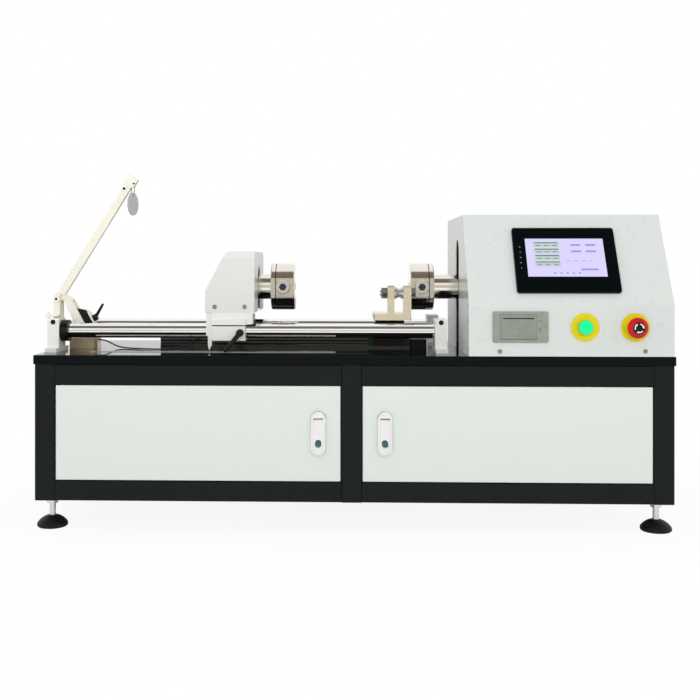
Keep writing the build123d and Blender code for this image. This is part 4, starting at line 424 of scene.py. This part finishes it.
def lathe(mesh, profile, at, toward, segments):
    """Adds a turned form: profile is a list of (radius, height) in millimetres about the axis."""
    matrix = axis_frame(at, toward)
    rings = []
    for radius, height in profile:
        if radius < 1e-6:
            rings.append([mesh.verts.new(matrix @ Vector((0, 0, height * MM)))])
            continue
        ring = []
        for index in range(segments):
            angle = 2 * math.pi * index / segments
            local = Vector((radius * math.cos(angle), radius * math.sin(angle), height)) * MM
            ring.append(mesh.verts.new(matrix @ local))
        rings.append(ring)
    for low, high in zip(rings, rings[1:]):
        for index in range(segments):
            after = (index + 1) % segments
            corners = [
                low[index % len(low)], low[after % len(low)],
                high[after % len(high)], high[index % len(high)],
            ]
            corners = list(dict.fromkeys(corners))
            if len(corners) > 2:
                mesh.faces.new(corners)


def plate(mesh, outline, matrix, thick):
    """Adds a flat prism: outline is (x, y) in millimetres in the matrix's own plane, thick along its Z."""
    bottom = [mesh.verts.new(matrix @ (Vector((x, y, 0)) * MM)) for x, y in outline]
    top = [mesh.verts.new(matrix @ (Vector((x, y, thick)) * MM)) for x, y in outline]
    count = len(outline)
    mesh.faces.new(bottom)
    mesh.faces.new(list(reversed(top)))
    for index in range(count):
        after = (index + 1) % count
        mesh.faces.new([bottom[index], bottom[after], top[after], top[index]])


def rectangle(width, height, radius=0.0):
    """A rectangle's outline about the origin, with round corners where a radius is given."""
    if not radius:
        half_w, half_h = width / 2, height / 2
        return [(-half_w, -half_h), (half_w, -half_h), (half_w, half_h), (-half_w, half_h)]
    outline = []
    for turn, (sx, sy) in enumerate(((1, -1), (1, 1), (-1, 1), (-1, -1))):
        middle = (sx * (width / 2 - radius), sy * (height / 2 - radius))
        for step in range(CORNER_STEPS + 1):
            angle = math.radians(-90 + 90 * turn + 90 * step / CORNER_STEPS)
            outline.append((middle[0] + radius * math.cos(angle), middle[1] + radius * math.sin(angle)))
    return outline


def polar(radius, degrees):
    """The (x, y) of a place at a distance and an angle from the origin."""
    return radius * math.cos(math.radians(degrees)), radius * math.sin(math.radians(degrees))


def front_matrix(x, y, z):
    """A plane that faces the operator: its x runs right, its y up and its z towards the operator."""
    turn = Matrix(((1, 0, 0), (0, 0, -1), (0, 1, 0))).to_4x4()
    return Matrix.Translation(place(x, y, z)) @ turn


def lettering(name, words, matrix, height, material, body, depth):
    """Raised plain figures on a plane; height and depth are in millimetres."""
    curve = bpy.data.curves.new(name, "FONT")
    curve.body = words
    curve.size = height * MM
    curve.extrude = depth * MM / 2
    curve.align_x = "CENTER"
    curve.align_y = "CENTER"
    curve.materials.append(material)
    made = bpy.data.objects.new(name, curve)
    bpy.context.collection.objects.link(made)
    made.matrix_world = matrix
    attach(made, body)


# Sensor cable

CABLE_DIAMETER = 3.0
CABLE_ROUTE = (
    (-540.0, 188.0, 17.0),
    (-526.0, 187.0, 16.0),
    (-511.0, 182.0, 9.0),
    (-495.0, 172.0, 3.4),
    (-475.0, 158.0, 1.8),
    (-451.0, 142.0, 1.7),
    (-424.0, 130.0, 1.9),
    (-396.0, 124.0, 1.7),
    (-368.0, 125.0, 2.6),
    (-344.0, 131.0, 8.0),
    (-325.0, 139.0, 20.0),
    (-312.0, 146.0, 35.0),
    (-304.0, 150.0, 51.0),
    (-298.0, 151.0, 66.0),
    (-285.1, 151.0, 73.6),
)
CABLE_SIDES = 12
CABLE_STEPS = 12


def smooth_route(points):
    """The points of a smooth curve through a route's control points, in the part's frame."""
    curve = bpy.data.curves.new("route", "CURVE")
    curve.dimensions = "3D"
    curve.resolution_u = CABLE_STEPS
    spline = curve.splines.new("NURBS")
    spline.points.add(len(points) - 1)
    for target, point in zip(spline.points, points):
        target.co = (*place(*point), 1)
    spline.order_u = 3
    spline.use_endpoint_u = True
    holder = bpy.data.objects.new("route", curve)
    bpy.context.collection.objects.link(holder)
    bpy.context.view_layer.update()
    mesh = bpy.data.meshes.new_from_object(holder)
    line = [vertex.co.copy() for vertex in mesh.vertices]
    bpy.data.objects.remove(holder)
    bpy.data.curves.remove(curve)
    bpy.data.meshes.remove(mesh)
    return line


def sweep(mesh, line, radius, sides):
    """Adds a tube of a radius in metres round a line, its frame carried along without twist."""
    side = Vector((0, 0, 1))
    rings = []
    for index, point in enumerate(line):
        before = line[max(0, index - 1)]
        after = line[min(len(line) - 1, index + 1)]
        along = (after - before).normalized()
        across = along.cross(side).normalized()
        side = across.cross(along)
        ring = []
        for step in range(sides):
            angle = 2 * math.pi * step / sides
            ring.append(mesh.verts.new(point + radius * (math.cos(angle) * across + math.sin(angle) * side)))
        rings.append(ring)
    for low, high in zip(rings, rings[1:]):
        for step in range(sides):
            after = (step + 1) % sides
            mesh.faces.new([low[step], low[after], high[after], high[step]])
    mesh.faces.new(rings[0])
    mesh.faces.new(list(reversed(rings[-1])))


def sensor_cable():
    line = smooth_route(CABLE_ROUTE)
    mesh = bmesh.new()
    sweep(mesh, line, CABLE_DIAMETER / 2 * MM, CABLE_SIDES)
    data = bpy.data.meshes.new("sensor_lead")
    mesh.to_mesh(data)
    mesh.free()
    data.materials.append(JACKET)
    data.shade_smooth()
    cable = bpy.data.objects.new("sensor_lead", data)
    bpy.context.collection.objects.link(cable)
    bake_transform(cable)
    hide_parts("sensor_cable")


sensor_cable()

# Screws

FRONT = (0, -1, 0)
SCREW_SEGMENTS = 24
HOOD_SCREW_RADIUS = 4.4
HOOD_SCREW_HEIGHT = 2.6
HOOD_SCREW_SOCKET = 2.6
CONSOLE_SCREWS = ((286.9, 9.1), (566.1, 10.2))
TAIL_HOOD_SCREWS = ((-278.0, 92.0), (-217.0, 92.0))


def button_screw(mesh, at, toward, head_radius, head_height, socket):
    """A button-head screw with a round recess for its socket."""
    profile = (
        (0, socket * 0.2),
        (socket * 0.5, socket * 0.2),
        (socket * 0.58, head_height),
        (head_radius * 0.72, head_height * 0.86),
        (head_radius * 0.93, head_height * 0.5),
        (head_radius, 0),
        (0, 0),
    )
    lathe(mesh, profile, at, toward, SCREW_SEGMENTS)


def hood_screws():
    for name, body, y, places in (
        ("console_screw", "cabinet", 0.0, CONSOLE_SCREWS),
        ("tail_hood_screw", "tailstock", span("tail_hood")[0].y, TAIL_HOOD_SCREWS),
    ):
        for index, (x, z) in enumerate(places):
            mesh = bmesh.new()
            button_screw(mesh, (x, y, z), FRONT, HOOD_SCREW_RADIUS, HOOD_SCREW_HEIGHT, HOOD_SCREW_SOCKET)
            finish_piece(f"{name}_{index}", mesh, BRASS_GREY, body)


hood_screws()

# Touch screen and buttons

PANEL_CENTRE = (423.0, 97.3)
PANEL_FACE = 7.04
SLOPE_FOOT_Z = 100.0
SLOPE_TOP_Z = 279.3
SLOPE_RUN = 100.0
SLOPE = math.atan2(SLOPE_TOP_Z - SLOPE_FOOT_Z, SLOPE_RUN)
SCREEN_SIZE = (154.0, 86.0)
SCREEN_RAISE = 4.0
PANE_THICK = 0.06
ON_SCREEN = 0.07
ON_BOX = 0.14
ROW_TOP = 29.5
ROW_STEP = 14.6


def slope_matrix(across, up, height):
    """A plane on the console's slope, at a place measured from the touch panel's centre."""
    x = PANEL_CENTRE[0] + across
    along = PANEL_CENTRE[1] + up
    y = along * math.cos(SLOPE) - height * math.sin(SLOPE)
    z = SLOPE_FOOT_Z + along * math.sin(SLOPE) + height * math.cos(SLOPE)
    turn = Matrix.Rotation(SLOPE, 4, "X")
    return Matrix.Translation(place(x, y, z)) @ turn


def pane(name, across, up, width, height, material, level=0.0, radius=0.0):
    """A thin pane on the touch screen, at a place measured from the screen's centre."""
    mesh = bmesh.new()
    matrix = slope_matrix(across, SCREEN_RAISE + up, PANEL_FACE + level)
    plate(mesh, rectangle(width, height, radius), matrix, PANE_THICK)
    finish_piece(name, mesh, material, "cabinet")


def touch_screen():
    """The lit screen with its reading boxes, keys and bars, and the marks on the bezel."""
    pane("screen_pane", 0, 0, *SCREEN_SIZE, SCREEN)
    for row in range(4):
        up = ROW_TOP - ROW_STEP * row
        pane(f"reading_box_{row}", -36, up, 50, 11.6, SCREEN_BOX, ON_SCREEN)
        pane(f"reading_title_{row}", -36, up + 4.0, 46, 1.9, SCREEN_TITLE, ON_BOX)
        for column in range(3):
            pane(f"reading_mark_{row}_{column}", -52 + 16 * column, up - 2.2, 9, 1.3, SCREEN_TITLE, ON_BOX)
    for row in range(2):
        for column in range(2):
            up = ROW_TOP - ROW_STEP * row
            pane(f"screen_key_{row}_{column}", 22 + 29 * column, up - 1, 20, 4.2, SCREEN_KEY, ON_SCREEN, 1)
    for column in range(4):
        pane(f"screen_tab_{column}", 6 + 14 * column, -8, 8, 1.6, SCREEN_KEY, ON_SCREEN)
    for column in range(5):
        pane(f"screen_dot_{column}", -24 + 12 * column, -35, 4, 2.0, SCREEN_TITLE, ON_SCREEN)
    pane("screen_bar", 44, -27, 34, 4.0, SCREEN_KEY, ON_SCREEN)
    for row in range(5):
        pane(f"bezel_mark_{row}", -88.5, 24 - 12 * row, 2.0, 0.7, WHITE_INK)


touch_screen()


STOP_DISC_AT = (546.6, -27.0, 56.5)
STOP_DISC = ((0, 0.0), (0, 0.55), (11.2, 0.4), (11.6, 0.0))
ARROW_COUNT = 3
ARROW_START = 20
ARROW_SWEEP = 60
ARROW_STEP = 10
ARROW_OUTER = 9.0
ARROW_INNER = 7.0
ARROW_TIP = ((8.0, -4.2), (5.6, 0.6), (10.4, 0.6))
ARROW_RAISE = 0.56
ARROW_THICK = 0.12


def stop_arrows():
    """The black disc on the emergency stop's head, and the arrows that show which way it turns to reset."""
    mesh = bmesh.new()
    lathe(mesh, STOP_DISC, STOP_DISC_AT, FRONT, 40)
    finish_piece("stop_disc", mesh, INK, "stop_head")
    arc = [polar(ARROW_OUTER, degrees) for degrees in range(0, ARROW_SWEEP + 1, ARROW_STEP)]
    back = [polar(ARROW_INNER, degrees) for degrees in range(ARROW_SWEEP, -1, -ARROW_STEP)]
    for index in range(ARROW_COUNT):
        mesh = bmesh.new()
        angle = math.radians(360 / ARROW_COUNT * index + ARROW_START)
        turned = front_matrix(*STOP_DISC_AT) @ Matrix.Rotation(angle, 4, "Z")
        raised = turned @ Matrix.Translation((0, 0, ARROW_RAISE * MM))
        plate(mesh, arc + back, raised, ARROW_THICK)
        plate(mesh, ARROW_TIP, raised, ARROW_THICK)
        finish_piece(f"stop_arrow_{index}", mesh, WHITE_INK, "stop_head")


stop_arrows()


START_CENTRE = (450.4, 56.5)
START_RIM_BACK = 6.8
START_RIM = ((13.75, 2.2), (13.95, 2.2), (13.95, 4.6), (13.75, 4.6), (13.75, 2.2))


def start_rim():
    """The darker rim round the start button's lens."""
    x, z = START_CENTRE
    mesh = bmesh.new()
    lathe(mesh, START_RIM, (x, span("start_cap")[0].y + START_RIM_BACK, z), FRONT, 48)
    finish_piece("start_rim", mesh, GREEN_EDGE, "start_button")


start_rim()


PRINTER_FACE = -4.0
PRINTER_LAMP_AT = (364.0, 68.0)
PRINTER_LAMP = ((0, 0.9), (0.8, 0.8), (1.3, 0.4), (1.4, 0), (0, 0))
PRINTER_SCREWS = ((277.5, 57.0), (375.3, 57.0))
PRINTER_SCREW_RADIUS = 1.7
PRINTER_SCREW_HEIGHT = 0.7
PRINTER_SCREW_SOCKET = 1.1


def printer_trim():
    """The panel printer's status lamp and its two side screws."""
    x, z = PRINTER_LAMP_AT
    mesh = bmesh.new()
    lathe(mesh, PRINTER_LAMP, (x, PRINTER_FACE, z), FRONT, 20)
    finish_piece("printer_lamp", mesh, LAMP_RED, "cabinet")
    for index, (x, z) in enumerate(PRINTER_SCREWS):
        mesh = bmesh.new()
        at = (x, PRINTER_FACE, z)
        button_screw(mesh, at, FRONT, PRINTER_SCREW_RADIUS, PRINTER_SCREW_HEIGHT, PRINTER_SCREW_SOCKET)
        finish_piece(f"printer_screw_{index}", mesh, BRASS_GREY, "cabinet")


printer_trim()

# Bed

SUPPORT_FACE = 80.0
SUPPORT_SCREW_INSET = 12.0
SUPPORT_SCREW_Z = 60.5
SUPPORT_SCREW = ((0, 0.2), (2.2, 0.2), (2.6, 1.2), (4.6, 1.0), (5.0, 0.4), (5.0, 0), (0, 0))


def support_screws():
    """Socket screws in the fronts of the rod supports."""
    low, high = span("rod_supports")
    for index, x in enumerate((low.x + SUPPORT_SCREW_INSET, high.x - SUPPORT_SCREW_INSET)):
        mesh = bmesh.new()
        lathe(mesh, SUPPORT_SCREW, (x, SUPPORT_FACE, SUPPORT_SCREW_Z), FRONT, 28)
        finish_piece(f"support_screw_{index}", mesh, BLACK_OXIDE, "cabinet")


support_screws()


RULE_STEP = 5
RULE_FIGURE_STEP = 50
DIVISION_WIDTH = 0.5
DIVISION_LONG = 9.0
DIVISION_SHORT = 5.5
DIVISION_INSET = 0.6
DIVISION_THICK = 0.03
DIVISION_LIFT = 0.01
FIGURE_INSET = 6
FIGURE_HEIGHT = 6.5
FIGURE_DEPTH = 0.04
FIGURE_LIFT = 0.03


def rule_marks():
    """Divisions every 5 mm and plain figures every 50 mm on the steel rule."""
    low, high = span("steel_rule")
    mesh = bmesh.new()
    for step in range(1, int(high.x - low.x) // RULE_STEP):
        long = DIVISION_LONG if step % 2 == 0 else DIVISION_SHORT
        middle = place(low.x + RULE_STEP * step, low.y + DIVISION_INSET + long / 2, high.z + DIVISION_LIFT)
        plate(mesh, rectangle(DIVISION_WIDTH, long), Matrix.Translation(middle), DIVISION_THICK)
    finish_piece("rule_divisions", mesh, INK, "cabinet")
    for step in range(1, int((high.x - low.x) // RULE_FIGURE_STEP)):
        middle = place(low.x + RULE_FIGURE_STEP * step, high.y - FIGURE_INSET, high.z + FIGURE_LIFT)
        lettering(
            f"rule_figure_{step}", str(RULE_STEP * step), Matrix.Translation(middle), FIGURE_HEIGHT, INK,
            "cabinet", FIGURE_DEPTH,
        )


rule_marks()


SEAL_THICK = 0.2
CARRIAGE_X = (37.0, 125.0)
CARRIAGE_Y = (176.0, 224.0)
CARRIAGE_Z = (5.5, 40.0)
CAP_LENGTH = 10.0


def slab(mesh, x, y, z):
    """Adds a box between the low and high ends of each axis."""
    outline = [(x[0], y[0]), (x[1], y[0]), (x[1], y[1]), (x[0], y[1])]
    plate(mesh, outline, Matrix.Translation(place(0, 0, z[0])), z[1] - z[0])


def carriage_caps():
    """The dark green end caps of the rail carriage."""
    for name, left in (("left_cap", CARRIAGE_X[0]), ("right_cap", CARRIAGE_X[1] - CAP_LENGTH)):
        mesh = bmesh.new()
        right = left + CAP_LENGTH
        slab(mesh, (left, right), (CARRIAGE_Y[0] - SEAL_THICK, CARRIAGE_Y[0]), CARRIAGE_Z)
        slab(mesh, (left, right), (CARRIAGE_Y[1], CARRIAGE_Y[1] + SEAL_THICK), CARRIAGE_Z)
        finish_piece(name, mesh, DARK_GREEN, "fork")


carriage_caps()

# Chucks

AXIS_Y = 200.0
AXIS_Z = 131.0
SOCKET_RADIUS = 7.9
SOCKET_BACK = 2.2
SOCKET_THICK = 0.4
RING_LINE_AT = 38.5
RING_LINE_WIDTH = 2.0
RING_LINE = ((48.4, 0.2), (48.9, 0.2), (48.9, 1.8), (48.4, 1.8), (48.4, 0.2))


def chuck_details():
    """The clamp screws' hexagon sockets as dark sheets laid in their recesses, which is painted shade, and
    the ring line turned round each chuck.
    """
    hexagon = [polar(SOCKET_RADIUS, 60 * corner) for corner in range(6)]
    for node, screw_node, screw_body, body in (
        ("drive_chuck", "drive_clamp_screw", "drive_screw", "spindle"),
        ("tail_chuck", "tail_clamp_screw", "tail_screw", "tailstock"),
    ):
        low, high = span(screw_node)
        middle = (low.x + high.x) / 2
        mesh = bmesh.new()
        # A dark hexagon sheet inside the screw's socket: painted shade of the recess
        plate(mesh, hexagon, front_matrix(middle, low.y + SOCKET_BACK, AXIS_Z), SOCKET_THICK)
        finish_piece(f"{node}_socket", mesh, SOCKET_SHADE, screw_body)
        low, high = span(node)
        ring_x = low.x + RING_LINE_AT if node == "drive_chuck" else high.x - RING_LINE_AT - RING_LINE_WIDTH
        mesh = bmesh.new()
        lathe(mesh, RING_LINE, (ring_x, AXIS_Y, AXIS_Z), (1, 0, 0), 96)
        finish_piece(f"{node}_ring_line", mesh, BLACK_OXIDE, body)


chuck_details()

# Preload lever

LEVER_PIVOT = (-617.0, 106.0)
ARM_ANGLE = math.radians(58.15)
ARM_MIDDLE_Y = 150.0
LINK_ORIGIN = (-590.0, 94.0)
LINK_ANGLE = math.radians(-62.0)
LINK_BLOCK = ((13.0, 8.5), (26.5, 24.5), (60.5, 24.5), (67.0, 12.0), (61.0, 0.0))
LINK_BLOCK_HALF = 7.5
CHEEK_THICK = 0.3
HEAD_FACE = 142.0
HEAD_SCREWS = (("head_screw", 271.0, -3.0, 2.6), ("head_pin", 291.0, 9.0, 1.9))
PIVOT_FACE = 130.0
# Painted shade: a thin dark disc on the pivot bolt's head in place of its socket's recess
PIVOT_SOCKET_SHADE = ((0, 0.25), (2.9, 0.25), (2.9, -0.1), (0, -0.1))


def arm_point(along, down):
    """The (x, z) of a place on the lever arm."""
    x = LEVER_PIVOT[0] + along * math.cos(ARM_ANGLE) + down * math.sin(ARM_ANGLE)
    z = LEVER_PIVOT[1] + along * math.sin(ARM_ANGLE) - down * math.cos(ARM_ANGLE)
    return x, z


def link_point(along, across):
    """The (x, z) of a place on the lever's link."""
    x = LINK_ORIGIN[0] + along * math.cos(LINK_ANGLE) - across * math.sin(LINK_ANGLE)
    z = LINK_ORIGIN[1] + along * math.sin(LINK_ANGLE) + across * math.cos(LINK_ANGLE)
    return x, z


def lever_details():
    """The black cheeks of the clamp block, the dark screws of the arm's head, and a dark disc on the pivot
    bolt's head, painted shade that stands for its socket.
    """
    outline = [link_point(*point) for point in LINK_BLOCK]
    for name, y in (
        ("front_cheek", ARM_MIDDLE_Y - LINK_BLOCK_HALF),
        ("rear_cheek", ARM_MIDDLE_Y + LINK_BLOCK_HALF + CHEEK_THICK),
    ):
        mesh = bmesh.new()
        plate(mesh, outline, front_matrix(0, 0, 0) @ Matrix.Translation((0, 0, -y * MM)), CHEEK_THICK)
        finish_piece(name, mesh, BLACK_OXIDE, "lever_link")
    for name, along, down, radius in HEAD_SCREWS:
        x, z = arm_point(along, down)
        profile = ((0, 1.4), (radius * 0.8, 1.4), (radius, 0.9), (radius, -0.2), (0, -0.2))
        mesh = bmesh.new()
        lathe(mesh, profile, (x, HEAD_FACE, z), FRONT, SCREW_SEGMENTS)
        finish_piece(name, mesh, BLACK_OXIDE, "lever_arm")
    # The pivot bolt's socket is painted shade: a flat dark disc, not a hollow
    x, z = LEVER_PIVOT
    mesh = bmesh.new()
    lathe(mesh, PIVOT_SOCKET_SHADE, (x, PIVOT_FACE, z), FRONT, 6)
    finish_piece("pivot_socket_shade", mesh, INK, "cabinet")


lever_details()

# Studio

AMBIENT = 0.55
AMBIENT_COLOR = (0.98, 0.99, 1.0)
FLOOR_NEAR = 0.45
FLOOR_FAR = 1.3
FLOOR_WHITE = 0.9
FLOOR_HALF = 14.0
FLOOR_DROP = 0.0005
FLOOR_TONE = 0.86
FLOOR_TONES = (0.85, 0.87)
WHITE = (1, 1, 1)
WARM_DARK = (0.16, 0.14, 0.11)

# What reflections show: the degrees up from the front horizon and over the top, and the colour there

STUDIO_BANDS = (
    (-180.0, WHITE),
    (-60.0, (0.30, 0.25, 0.19)),
    (-10.0, (0.55, 0.49, 0.38)),
    (14.0, (0.75, 0.70, 0.58)),
    (20.0, WHITE),
    (35.0, WHITE),
    (39.0, WARM_DARK),
    (78.0, (0.20, 0.18, 0.15)),
    (84.0, WHITE),
    (180.0, WHITE),
)

# Each lamp's name, place and aim in the table's frame, size in metres and power in watts

LAMPS = (
    ("front_fill", (0, -2300, 900), (0, 0, 0), (2.6, 1.6), 32),
    ("top_soft", (0, 0, 2100), (0, 150, 0), (2.6, 1.8), 16),
    ("left_soft", (-2200, -700, 700), (0, 200, 100), (1.4, 1.6), 9),
    ("right_soft", (2200, -700, 700), (0, 200, 100), (1.4, 1.6), 9),
)


def world():
    """White for the camera, light and dark bands for reflections, and plain soft light for the rest."""
    made = bpy.data.worlds.new("studio")
    bpy.context.scene.world = made
    made.use_nodes = True
    tree = made.node_tree
    tree.nodes.clear()

    def node(kind, **settings):
        created = tree.nodes.new(kind)
        for key, value in settings.items():
            setattr(created, key, value)
        return created

    def background(color, strength=1.0):
        created = node("ShaderNodeBackground")
        created.inputs["Color"].default_value = (*color, 1)
        created.inputs["Strength"].default_value = strength
        return created

    def mixed(share, first, second):
        created = node("ShaderNodeMixShader")
        tree.links.new(share, created.inputs["Fac"])
        tree.links.new(first.outputs[0], created.inputs[1])
        tree.links.new(second.outputs[0], created.inputs[2])
        return created

    white = background(WHITE)
    soft = background(AMBIENT_COLOR, AMBIENT)
    studio = background(WHITE)
    split = node("ShaderNodeSeparateXYZ")
    tree.links.new(node("ShaderNodeTexCoord").outputs["Generated"], split.inputs[0])
    minus_y = node("ShaderNodeMath", operation="MULTIPLY")
    minus_y.inputs[1].default_value = -1
    tree.links.new(split.outputs["Y"], minus_y.inputs[0])
    around = node("ShaderNodeMath", operation="ARCTAN2")
    tree.links.new(split.outputs["Z"], around.inputs[0])
    tree.links.new(minus_y.outputs[0], around.inputs[1])
    turn = node("ShaderNodeMapRange")
    turn.inputs["From Min"].default_value = -math.pi
    turn.inputs["From Max"].default_value = math.pi
    tree.links.new(around.outputs[0], turn.inputs["Value"])
    ramp = node("ShaderNodeValToRGB")
    elements = ramp.color_ramp.elements
    while len(elements) < len(STUDIO_BANDS):
        elements.new(1.0)
    for element, (degrees, color) in zip(elements, STUDIO_BANDS):
        element.position = (degrees + 180) / 360
        element.color = (*color, 1)
    tree.links.new(turn.outputs[0], ramp.inputs["Fac"])
    tree.links.new(ramp.outputs["Color"], studio.inputs["Color"])
    path = node("ShaderNodeLightPath")
    seen = node("ShaderNodeMath", operation="MAXIMUM")
    tree.links.new(path.outputs["Is Camera Ray"], seen.inputs[0])
    tree.links.new(path.outputs["Is Transmission Ray"], seen.inputs[1])
    shiny = mixed(path.outputs["Is Glossy Ray"], soft, studio)
    sky = mixed(seen.outputs[0], shiny, white)
    tree.links.new(sky.outputs[0], node("ShaderNodeOutputWorld").inputs["Surface"])


def area_light(name, at, toward, size, power):
    """A soft rectangular lamp that reflections don't show."""
    data = bpy.data.lights.new(name, "AREA")
    data.shape = "RECTANGLE"
    data.size, data.size_y = size
    data.energy = power
    lamp = bpy.data.objects.new(name, data)
    lamp.location = place(*at)
    lamp.rotation_euler = (Vector(toward) - Vector(at)).to_track_quat("-Z", "Y").to_euler()
    lamp.visible_glossy = False
    bpy.context.collection.objects.link(lamp)


def floor():
    """A pale floor that is white in the view but keeps the object's shadow."""
    mesh = bmesh.new()
    corners = rectangle(2 * FLOOR_HALF, 2 * FLOOR_HALF)
    mesh.faces.new([mesh.verts.new((x, y, -FLOOR_DROP)) for x, y in corners])
    data = bpy.data.meshes.new("floor")
    mesh.to_mesh(data)
    mesh.free()
    made = bpy.data.objects.new("floor", data)
    bpy.context.collection.objects.link(made)
    shader = Shader("floor")
    sockets = shader.surface((FLOOR_TONE,) * 3, 0.6, specular=0.1)
    dark, pale = ((tone,) * 3 for tone in FLOOR_TONES)
    patches = shader.ramp(shader.noise(3, 2), ((MOTTLE_LOW, dark), (MOTTLE_HIGH, pale)))
    shader.link(patches, sockets["Base Color"])
    glow = shader.node("ShaderNodeEmission")
    glow.inputs["Strength"].default_value = 1.0
    path = shader.node("ShaderNodeLightPath")
    away = shader.node("ShaderNodeVectorMath", operation="LENGTH")
    shader.link(shader.coordinates, away.inputs[0])
    fade = shader.node("ShaderNodeMapRange")
    fade.inputs["From Min"].default_value = FLOOR_NEAR
    fade.inputs["From Max"].default_value = FLOOR_FAR
    fade.inputs["To Min"].default_value = FLOOR_WHITE
    fade.inputs["To Max"].default_value = 1.0
    shader.link(away.outputs["Value"], fade.inputs["Value"])
    share = shader.node("ShaderNodeMath", operation="MULTIPLY")
    shader.link(path.outputs["Is Camera Ray"], share.inputs[0])
    shader.link(fade.outputs[0], share.inputs[1])
    mix = shader.node("ShaderNodeMixShader")
    shader.link(share.outputs[0], mix.inputs["Fac"])
    shader.link(shader.principled.outputs[0], mix.inputs[1])
    shader.link(glow.outputs[0], mix.inputs[2])
    shader.link(mix.outputs[0], shader.output.inputs["Surface"])
    data.materials.append(shader.material)


bpy.context.scene.view_settings.view_transform = "Standard"
world()
for lamp in LAMPS:
    area_light(*lamp)
floor()
